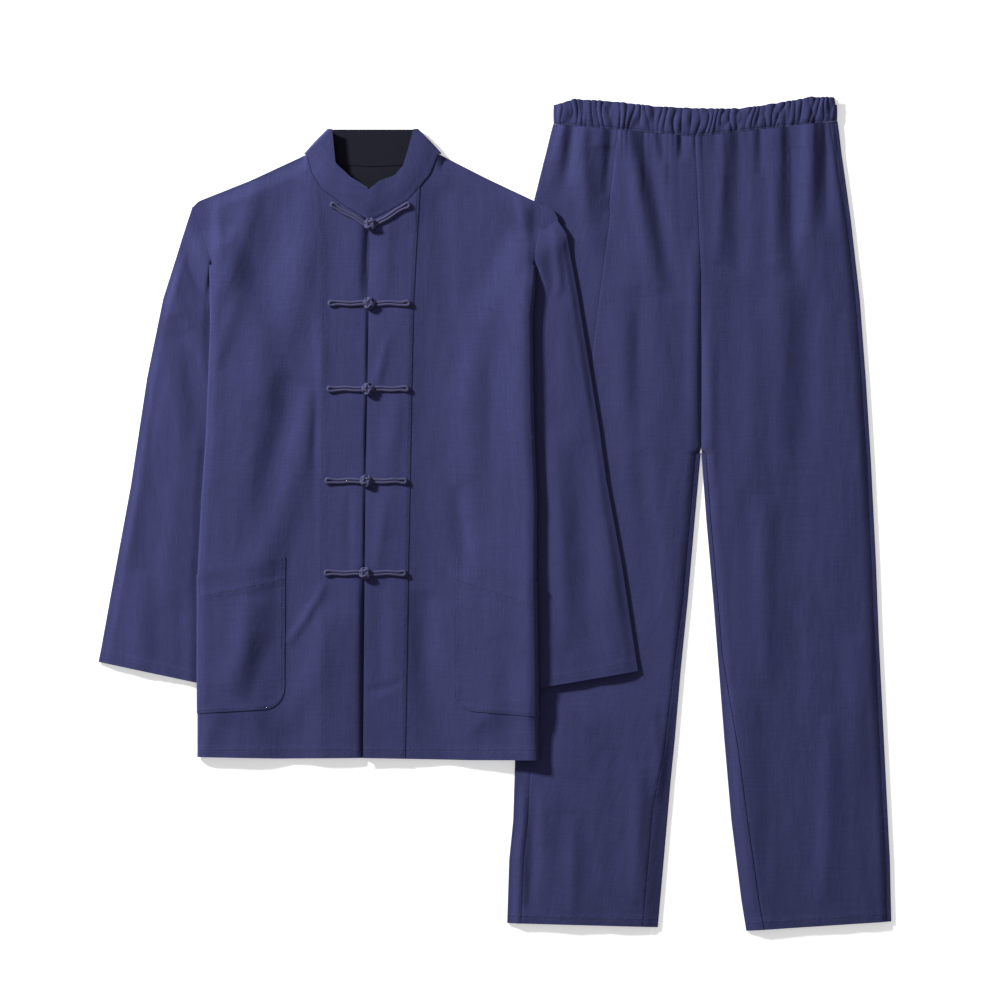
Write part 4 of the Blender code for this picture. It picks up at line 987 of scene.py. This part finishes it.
def double_strand(name, node, near, far):
    """Two strands side by side, folded at the outer end."""
    run = np.array(far) - np.array(near)
    length = np.hypot(*run)
    way = run / length
    across = np.array([-way[1], way[0]])
    path = []
    shares = np.linspace(0.02, 0.97, 18)
    for strand in (1, -1):
        for share in shares[::strand]:
            flare = ease((share * length - length + 0.008) / 0.005)
            offset = STRAND_OFFSET + (END_OFFSET - STRAND_OFFSET) * flare
            drift = 0.0005 * math.sin(9 * share + 40 * near[1])
            path.append(np.array(near) + run * share + across * (strand * offset + drift))
        if strand == 1:
            path += [np.array(far) + way * 0.0006 + across * END_OFFSET,
                     np.array(far) + way * 0.0016,
                     np.array(far) + way * 0.0006 - across * END_OFFSET]
    path.append(np.array(near) - way * 0.0016)
    path = np.array(path)
    end = np.exp(-(np.linalg.norm(path - np.array(far), axis=1) / 0.0045) ** 2)
    z = surface_z(path[:, 0], path[:, 1]) + CORD_RADIUS * 0.5 + 0.0004 * end
    cord_piece(name, node, np.column_stack([path, z]), CORD_RADIUS, 1 + END_SWELL * end)


for number, frog in enumerate(FROGS, 1):
    knot_x = float(x_at(OPENING, frog.y)) + KNOT_OFFSET
    reach = FROG_REACH if frog.end_y == frog.y else FROG_REACH - SLANT_SHORTER
    double_strand(f"loop_{number}", f"frog_{number}_loop", (knot_x - LOOP_START, frog.y),
                  (knot_x - reach, frog.end_y))
    double_strand(f"strands_{number}", f"frog_{number}_strands",
                  (knot_x + STRANDS_START, frog.y), (knot_x + reach, frog.end_y))
    middle = np.array([knot_x, frog.y,
                       surface_z(knot_x + 0.0036, frog.y)[0] + KNOT_LIFT])
    turns = np.linspace(0, 2 * math.pi, 97)[:-1]
    around, tilt = 3 * turns + 0.4 * number, math.radians(58) * np.sin(4 * turns)
    radius = KNOT_RADIUS + 0.0007 * np.sin(8 * turns + 0.6)
    knot = np.column_stack([radius * np.cos(tilt) * np.cos(around),
                            radius * np.cos(tilt) * np.sin(around),
                            KNOT_FLATNESS * radius * np.sin(tilt)])
    knot_piece = cord_piece(f"ball_knot_{number}", f"frog_{number}_knot", knot + middle, KNOT_CORD)
    bpy.ops.mesh.primitive_uv_sphere_add(segments=20, ring_count=12, radius=KNOT_RADIUS,
                                         location=middle, scale=(1, 1, KNOT_FLATNESS))
    heart = bpy.context.object
    bpy.ops.object.transform_apply(location=True, rotation=True, scale=True)
    bpy.ops.object.shade_smooth()
    heart.data.materials.append(frog_cotton)
    bpy.ops.object.select_all(action="DESELECT")
    heart.select_set(True)
    knot_piece.select_set(True)
    bpy.context.view_layer.objects.active = knot_piece
    bpy.ops.object.join()

# Trousers
# Two straight legs of the same cotton, each with a front and a back panel. The back comes round
# both edges a little, and every fold starts in the gathers of the waist.

LEG_RIGHT_OUTER = [(0.0146, -0.4990), (0.0171, -0.4221), (0.0220, -0.3733), (0.0244, -0.2965),
                   (0.0293, -0.0561), (0.0366, 0.1635), (0.0476, 0.3831), (0.0598, 0.4319),
                   (0.0714, 0.4752)]
LEG_RIGHT_INNER = [(0.1989, -0.5039), (0.2062, -0.4221), (0.2147, -0.3245), (0.2196, -0.2757),
                   (0.2269, -0.1903), (0.2355, -0.1049), (0.2440, -0.0073), (0.2513, 0.0744)]
LEG_LEFT_OUTER = [(0.4836, -0.4970), (0.4819, -0.4221), (0.4758, -0.3001), (0.4685, -0.1537),
                  (0.4648, -0.0561), (0.4587, 0.0659), (0.4526, 0.1635), (0.4453, 0.2611),
                  (0.4343, 0.3587), (0.4258, 0.4197), (0.4172, 0.4790)]
LEG_LEFT_INNER = [(0.3062, -0.5084), (0.3001, -0.4709), (0.2879, -0.3733), (0.2794, -0.2757),
                  (0.2727, -0.1903), (0.2660, -0.1049), (0.2574, -0.0073), (0.2513, 0.0744)]
CENTRE_SEAM = [(0.2513, 0.0744), (0.2513, 0.2928), (0.2472, 0.3819), (0.2440, 0.4600)]
Inset = namedtuple("Inset", "y side inseam")
LEG_RIGHT_INSETS = [Inset(-0.510, 0.016, 0.017), Inset(-0.354, 0.017, 0.017),
                    Inset(-0.296, 0.018, 0.010), Inset(-0.105, 0.040, 0.004),
                    Inset(0.139, 0.074, 0.004), Inset(0.364, 0.092, 0.004),
                    Inset(0.480, 0.075, 0.004)]
LEG_LEFT_INSETS = [Inset(-0.510, 0.004, 0.020), Inset(-0.375, 0.004, 0.018),
                   Inset(-0.280, 0.004, 0.014), Inset(-0.166, 0.004, 0.004),
                   Inset(0.340, 0.004, 0.004), Inset(0.480, 0.008, 0.004)]
CROTCH_SHARE = 13 / 22
TROUSER_CROWN = 0.0036
SLIT_END_Y = spot(607.7, 214)[1]
WAIST_LIFT, WAIST_LIFT_Y, WAIST_LIFT_SPREAD = 0.0014, 0.435, 0.035
COVER_MARGIN, COVER_SPREAD = 0.016, 0.060
SLEEVE_COVER = [(0.0000, 0.3800), (0.0098, -0.2196), (0.1751, -0.1915), (0.1277, 0.1061),
                (0.1013, 0.2684), (0.0878, 0.3416), (0.0600, 0.3800)]
BODY_COVER = [(-0.3000, 0.4000), (-0.3000, -0.3020), (0.0515, -0.3020), (0.0490, 0.3800)]
LEG_HEM = 0.008
TROUSER_SHADE = 0.98
SEAM_PULL, SEAM_PULL_WIDTH, SIDE_PULL, SIDE_PULL_WIDTH = 0.0008, 0.0022, 0.0005, 0.0018
FORK_PULL, FORK_PULL_WIDTH, MOUTH_GAPE, MOUTH_GAPE_WIDTH = 0.0042, 0.0050, 0.0011, 0.0018
TROUSER_CREASES = [
    Crease(572, 104, 570, 150, 558, 204, 6, 1.0, -4.0),
    Crease(580, 128, 584, 190, 588, 256, 9, 1.0, 3.4),
    Crease(603, 146, 608, 210, 614, 284, 12, 1.0, -2.6),
    Crease(611, 104, 610, 146, 605, 198, 5, 1.0, -2.6),
    Crease(621, 106, 636, 180, 656, 294, 9, 1.0, 3.6),
    Crease(638, 110, 654, 190, 676, 300, 9, 1.0, -3.6),
    Crease(660, 106, 661, 136, 664, 164, 4, 1.0, -2.6),
    Crease(681, 106, 681, 134, 682, 160, 4, 1.0, -2.4),
    Crease(694, 240, 694, 330, 694, 452, 7, 1.0, 2.0),
    Crease(728, 106, 722, 170, 719, 264, 7, 1.0, 2.8),
    Crease(742, 106, 738, 180, 738, 274, 10, 1.0, -2.8),
    Crease(760, 106, 760, 140, 760, 176, 4, 1.0, -2.4),
    Crease(777, 102, 776, 190, 774, 274, 8, 1.0, 3.0),
    Crease(792, 102, 792, 190, 794, 284, 8, 1.0, -3.4),
    Crease(776, 256, 780, 350, 782, 484, 14, 1.0, 3.0),
    Crease(804, 246, 808, 350, 802, 474, 14, 1.0, -3.0),
    Crease(811, 102, 810, 160, 809, 240, 7, 1.0, 3.0),
    Crease(825, 100, 826, 160, 826, 230, 6, 1.0, -3.0),
    Crease(709, 316, 710, 400, 709, 486, 6, 1.0, 2.0),
    Crease(616, 306, 620, 390, 624, 484, 12, 1.0, 2.6),
    Crease(638, 286, 640, 350, 640, 424, 10, 1.0, -2.0),
    Crease(750, 306, 752, 400, 750, 506, 12, 1.0, 2.0),
    Crease(624, 440, 626, 505, 628, 584, 11, 1.0, 2.4),
    Crease(642, 450, 644, 520, 646, 620, 12, 1.0, -2.0),
    Crease(762, 496, 764, 580, 764, 686, 11, 1.0, 2.8),
    Crease(792, 466, 794, 590, 796, 724, 16, 1.0, -2.2),
    Crease(740, 690, 746, 790, 752, 912, 16, 1.0, 2.4),
    Crease(828, 716, 828, 800, 824, 904, 11, 1.0, 3.0),
    Crease(852, 636, 856, 700, 858, 784, 12, 1.0, 1.6),
    Crease(532, 772, 532, 840, 530, 914, 7, 1.0, -3.0),
    Crease(572, 816, 573, 870, 572, 916, 8, 1.0, 1.8),
    Crease(640, 762, 640, 830, 638, 904, 10, 1.0, 2.8),
    Crease(656, 724, 658, 760, 654, 800, 7, 1.0, 1.6),
    Crease(556, 690, 568, 716, 560, 776, 30, 0.6, 3.0),
]
trouser_cotton = woven("trouser_cotton", tuple(c * TROUSER_SHADE for c in NAVY),
                       [(0, LEG_HEM, 0.7), (1, 0.0, 0.5), (2, 0.0, 0.4)])


def gathers(share, up, count, seed):
    """Puffs with narrow valleys between them, uneven in width, lean and height."""
    share, up = np.broadcast_arrays(np.asarray(share, float), up)
    places = list(zip(share.ravel(), up.ravel()))
    drift = np.array([noise.noise(Vector((s * 17, u * 0.9, seed))) for s, u in places])
    size = np.array([noise.noise(Vector((s * 27, u * 1.4, seed + 9))) for s, u in places])
    wave = np.abs(np.sin(math.pi * (count * share.ravel() + 1.3 * drift))) ** 0.7
    return (wave * (0.85 + 1.0 * size)).reshape(share.shape)


def trouser_rise(x, y, s, across):
    """How far the front's cloth stands over the flat tube: nothing under the jacket."""
    away = np.minimum(beyond(x, y, SLEEVE_COVER), beyond(x, y, BODY_COVER))
    clear = ease((away - COVER_MARGIN) / COVER_SPREAD + 0.25)
    edges = ease(np.minimum(s, 1 - s) / 0.07)
    waist = ease((y - WAIST_LIFT_Y) / WAIST_LIFT_SPREAD)
    ruffle = 0.0010 * gathers(across, 0.0, 40, 5.0) * ease((y - 0.425) / 0.045)
    ruffle = ruffle + 0.0008 * gathers(across, 0.0, 15, 8.0) * ease((y - 0.33) / 0.12)
    folds = creased(x, y, TROUSER_CREASES) + swells(x, y, 11.0, 0.045, 0.20, 0.0014)
    rise = edges * (TROUSER_CROWN + folds) + WAIST_LIFT * waist + ruffle * edges
    return clear * np.maximum(rise, 0.1 * rise)


def leg(name, node, outer, inner, insets, side):
    """A leg: a front between its seams, and a back that comes round both edges to meet it."""
    inset = TUBE_RADIUS + WALL / 2
    out_line = shifted(outer, -side * inset)
    in_line = shifted(inner, side * (inset + SEAM / 2))
    centre = shifted(CENTRE_SEAM, side * JOIN)
    centre[0] = in_line[-1]
    centre.insert(1, (CENTRE_SEAM[0][0] + side * JOIN, CENTRE_SEAM[0][1] + 0.006))
    outer_edge, inner_edge = line(out_line), joined(in_line, centre, CROTCH_SHARE)
    hem, top = line([in_line[0], out_line[0]]), line([centre[-1], out_line[-1]])
    f = spread((0.008, 2), (CROTCH_SHARE, 150), (0.90, 76), (1.0, 40))[:, None]
    joined_legs = f > CROTCH_SHARE

    def layer(s, upper):
        s, rows = np.broadcast_arrays(s, f)
        place = patch(hem, top, inner_edge, outer_edge, s, rows)
        x, y = place[..., 0], place[..., 1]
        inward = np.where(joined_legs & (s < 0.5), 0.5, s)
        across = (x - 0.0714) / (0.4172 - 0.0714)
        rise = trouser_rise(x, y, inward, across) if upper else 0.0
        return np.stack([x, y, WALL / 2 + (2 * TUBE_RADIUS + rise if upper else 0.0 * x)], -1)

    ends = layer(np.array([[0.0, 1.0]]), True)
    width = np.abs(ends[:, 1, 0] - ends[:, 0, 0])[:, None]
    y = ends[..., 1].mean(1)[:, None]
    ys = [r.y for r in insets]
    side_inset = np.interp(y, ys, [r.side for r in insets]) / width
    inseam_inset = np.where(joined_legs, 0.0, np.interp(y, ys, [r.inseam for r in insets]) / width)
    gap = np.where(joined_legs, 0.0, JOIN / width)
    first, last = inseam_inset + gap, 1 - side_inset - JOIN / width
    t = np.linspace(0, 1, 65)
    t = (0.75 * t + 0.25 * t * t * (3 - 2 * t))[None, :]
    front = layer(mix(first, last, t), True)
    strip = layer(mix(1 - side_inset + JOIN / width, 1.0, np.linspace(0, 1, 25)[None, :]), True)

    # Each seam draws the cloth down, most at the fork, and the pocket's mouth gapes
    fork = ease((0.36 - y) / 0.24) * joined_legs
    inner_away = np.abs(front[..., 0] - front[:, :1, 0])
    outer_away = np.abs(front[..., 0] - front[:, -1:, 0])
    strip_away = np.abs(strip[..., 0] - strip[:, :1, 0])
    mouth = ease((y - SLIT_END_Y) / 0.004) * (side < 0)
    pull_width = mix(SEAM_PULL_WIDTH, FORK_PULL_WIDTH, fork)
    gape_width = SIDE_PULL_WIDTH + MOUTH_GAPE_WIDTH * mouth
    front[..., 2] -= mix(SEAM_PULL, FORK_PULL, fork) * np.exp(-inner_away / pull_width)
    front[..., 2] -= SIDE_PULL * np.exp(-outer_away / SIDE_PULL_WIDTH)
    strip[..., 2] -= (SIDE_PULL + MOUTH_GAPE * mouth) * np.exp(-strip_away / gape_width)
    under = layer(np.linspace(1, 0, 15)[None, :] + 0.0 * f, False)
    inner_strip = layer(mix(0.0, np.maximum(inseam_inset - gap, 0.001),
                            np.linspace(0, 1, 5)[None, :]), True)
    outer_fold = round_edge(strip[:, -1], under[:, 0, 2], side, 5)
    inner_fold = round_edge(inner_strip[:, 0], under[:, -1, 2], -side, 5)[:, ::-1]
    tail = np.concatenate([inner_fold, inner_strip], 1)
    tail[joined_legs[:, 0]] = np.nan
    back = np.concatenate([strip, outer_fold, under, tail], 1)
    length = 0.98
    for part, points, suffix in ((front, front, "front"), (back, back, "back")):
        seam_a = np.abs(points[..., 0] - front[:, :1, 0])
        seam_b = np.abs(points[..., 0] - front[:, -1:, 0])
        from_hem = np.broadcast_to(f * length, points.shape[:2])
        edges = np.stack([from_hem, seam_a, seam_b], -1)
        edges[np.isnan(edges)] = 1.0
        piece = cloth(f"{name}_{suffix}", points, grain_of(points), edges, COTTON, trouser_cotton)
        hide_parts(f"{node}_{suffix}")
    return front, strip


leg_right_front, leg_right_strip = leg(
    "right_leg", "trouser_right", LEG_RIGHT_OUTER, LEG_RIGHT_INNER, LEG_RIGHT_INSETS, -1)
leg_left_front, leg_left_strip = leg(
    "left_leg", "trouser_left", LEG_LEFT_OUTER, LEG_LEFT_INNER, LEG_LEFT_INSETS, 1)

# Elastic waist
# The top of the trousers is turned over an elastic band and stitched below it, so the casing is
# drawn up into some forty uneven gathers all round.

WAIST_WALL, WAIST_GAP = 0.0022, 0.001
WAIST_SEAM_LINE = [(0.0714, 0.4752), (0.2440, 0.4600), (0.4172, 0.4790)]
WAIST_TOP = [(0.0714, 0.4990), (0.0976, 0.5058), (0.1464, 0.5026), (0.1964, 0.4969),
             (0.2501, 0.4945), (0.2977, 0.4941), (0.3477, 0.5014), (0.3864, 0.5084),
             (0.4131, 0.5075), (0.4172, 0.4990)]
waist_radius = (WAIST_WALL + WAIST_GAP) / 2
waist_inset = waist_radius + WAIST_WALL / 2


def drawn_in(points):
    (x1, y1), (x2, y2) = points[0], points[-1]
    return [(x1 + waist_inset, y1)] + points[1:-1] + [(x2 - waist_inset, y2)]


waist_low = line(drawn_in([(x, y + SEAM) for x, y in WAIST_SEAM_LINE]))
waist_high = line(drawn_in(WAIST_TOP))
share = np.linspace(0, 1, 401)
up = np.linspace(0, 1, 13)[:, None]
front_xy = mix(waist_low(share)[None], waist_high(share)[None], up[..., None])
waist_ends = ease(np.minimum(share, 1 - share) / 0.015)
puff = gathers(share[None], up, 40, 5.0) * waist_ends
stitched = 1 - 0.75 * np.exp(-((up - 0.04) / 0.10) ** 2)
ridges = 0.0020 * puff * stitched + 0.0012 * gathers(share[None], up, 11, 8.0) * waist_ends
belly = 0.0008 * np.sin(math.pi * up)
front_waist = np.concatenate([front_xy, (WAIST_WALL / 2 + 2 * waist_radius + ridges
                                         + belly)[..., None]], -1)
front_waist[..., 1] += 0.0012 * up * (puff - 0.5) * waist_ends
back_share = np.linspace(1, 0, 161)
back_xy = mix(waist_low(back_share)[None], waist_high(back_share)[None], up[..., None])
back_waist = np.concatenate([back_xy, np.full(back_xy.shape[:2] + (1,), WAIST_WALL / 2)], -1)
right_side = round_edge(front_waist[:, -1], back_waist[:, 0, 2], 1)
left_side = round_edge(front_waist[:, 0], back_waist[:, -1, 2], -1)
waist_points = np.concatenate([front_waist, right_side, back_waist, left_side[:, ::-1]], 1)
waist_uv = grain_of(waist_points)
waist_uv[..., 1] = up * 0.034
waist_cotton = woven("waist_cotton", tuple(c * 0.94 for c in NAVY), [(0, 0.0025, 0.9)])
waist = cloth("elastic_waist", waist_points, waist_uv,
              np.stack([np.broadcast_to(up * 0.034, waist_points.shape[:2])] * 3, -1),
              0.0020, waist_cotton, closed=True)
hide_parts("waistband")

# Stitching
# Lockstitch in navy thread, one short float after another: the hems, the pockets' hems and sides,
# the band's seam side, the facing's line, the casing and the pocket tack in the trousers' side.

STITCH_LENGTH, STITCH_PITCH, THREAD_RADIUS = 0.0023, 0.0031, 0.00022
thread = bpy.data.materials.new("navy_thread")
thread.use_nodes = True
thread_tree = thread.node_tree
twist = Yarn(thread_tree).node("ShaderNodeTexCoord", out=3).noise(2600.0, 1.0)
thread_ground = twist.node("ShaderNodeRGB")
thread_ground.socket.default_value = (0.026, 0.026, 0.080, 1)
thread_tree.links.new(thread_ground.colour((0.060, 0.061, 0.160, 1), twist).socket,
                      thread_tree.nodes["Principled BSDF"].inputs["Base Color"])
thread_tree.nodes["Principled BSDF"].inputs["Roughness"].default_value = 0.6

bpy.ops.mesh.primitive_ico_sphere_add(subdivisions=1, radius=1.0, location=(0, 0, 0))
stitch = bpy.context.object
stitch_shape = np.array([vertex.co[:] for vertex in stitch.data.vertices])
stitch_shape *= (STITCH_LENGTH / 2, THREAD_RADIUS, THREAD_RADIUS)
stitch_faces = np.array([face.vertices[:] for face in stitch.data.polygons])
bpy.data.objects.remove(stitch)


def sew(name, seams):
    """Rows of stitches along lines of points on the cloth's middle, joined in one mesh."""
    shapes, faces, count = [], [], 0
    for seam in seams:
        seam = np.array(seam)
        run = np.concatenate([[0.0], np.cumsum(np.linalg.norm(np.diff(seam, axis=0), axis=1))])
        for at in np.arange(STITCH_PITCH, run[-1] - STITCH_PITCH / 2, STITCH_PITCH):
            here, ahead = (np.array([np.interp(at + d, run, seam[:, i]) for i in range(3)])
                           for d in (-0.0008, 0.0008))
            way = (ahead - here) / np.linalg.norm(ahead - here)
            across = np.cross((0, 0, 1), way)
            across /= np.linalg.norm(across)
            above = np.cross(way, across)
            centre = (here + ahead) / 2 + above * (WALL / 2 - 0.0001)
            shapes.append(centre + stitch_shape @ np.array([way, across, above]))
            faces.append(stitch_faces + count)
            count += len(stitch_shape)
    mesh = bpy.data.meshes.new(name)
    mesh.from_pydata(np.concatenate(shapes).tolist(), [], np.concatenate(faces).tolist())
    mesh.shade_smooth()
    mesh.materials.append(thread)
    piece = bpy.data.objects.new(name, mesh)
    bpy.context.scene.collection.objects.link(piece)
    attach(piece, "root")


def row_at(points, distance):
    """The line across a panel at a distance above its lowest row."""
    place = points[:, :, 1] - points[0, :, 1]
    return np.array([[np.interp(distance, place[:, c], points[:, c, i]) for i in range(3)]
                     for c in range(points.shape[1])])


def hem_of(points, distance, columns):
    return row_at(points[:12, columns], distance)


front_count = len(right_columns)
first = len(lap_shares)
jacket_seams = [
    hem_of(right_points, HEM_DEPTH, slice(first, first + front_count)),
    hem_of(left_points, HEM_DEPTH, slice(EDGE_COLUMNS + BAND_COLUMNS + 2, front_count)),
    hem_of(band_points, HEM_DEPTH, slice(0, None)),
    right_points[:-16, first + EDGE_COLUMNS + BAND_COLUMNS],
    [mix(row[-2], row[-1], 0.2) for row in band_points[:-10]],
]
for points in (pocket_right_points, pocket_left_points):
    top_down = points[::-1]
    depth = np.abs(top_down[:, :, 1] - top_down[0, :, 1])
    jacket_seams.append([[np.interp(POCKET_HEM, depth[:, c], top_down[:, c, i]) for i in range(3)]
                         for c in range(points.shape[1])])
    inner = [row[0] + (row[4] - row[0]) * 0.55 for row in points[1:]]
    bottom = [mix(a, b, 0.55) for a, b in zip(points[0], points[1])]
    jacket_seams += [inner, bottom[3:]]
for points in (sleeve_right_points, sleeve_left_points):
    jacket_seams.append(points[3, 1:-6])
sew("jacket_stitching", jacket_seams)

slit_row = int(np.argmin(np.abs(leg_right_front[:, -1, 1] - SLIT_END_Y)))
slit_edge = leg_right_front[slit_row, -1]
tack = [slit_edge + (dx, dy, 0.0003) for dx, dy in ((-0.004, 0.0), (0.004, 0.0))]
tack_again = [slit_edge + (dx, dy, 0.0003) for dx, dy in ((-0.004, -0.0008), (0.004, -0.0008))]
waist_front = waist_points[:, :401]
casing = [mix(low, high, 0.15) + (0, 0, 0.0006) for low, high in zip(waist_front[0],
                                                                 waist_front[1])]
trouser_seams = [hem_of(part, LEG_HEM, slice(None)) for part in
                 (leg_right_front, leg_right_strip, leg_left_front, leg_left_strip)]
trouser_seams += [casing, tack, tack_again]
sew("trouser_stitching", trouser_seams)

low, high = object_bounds()
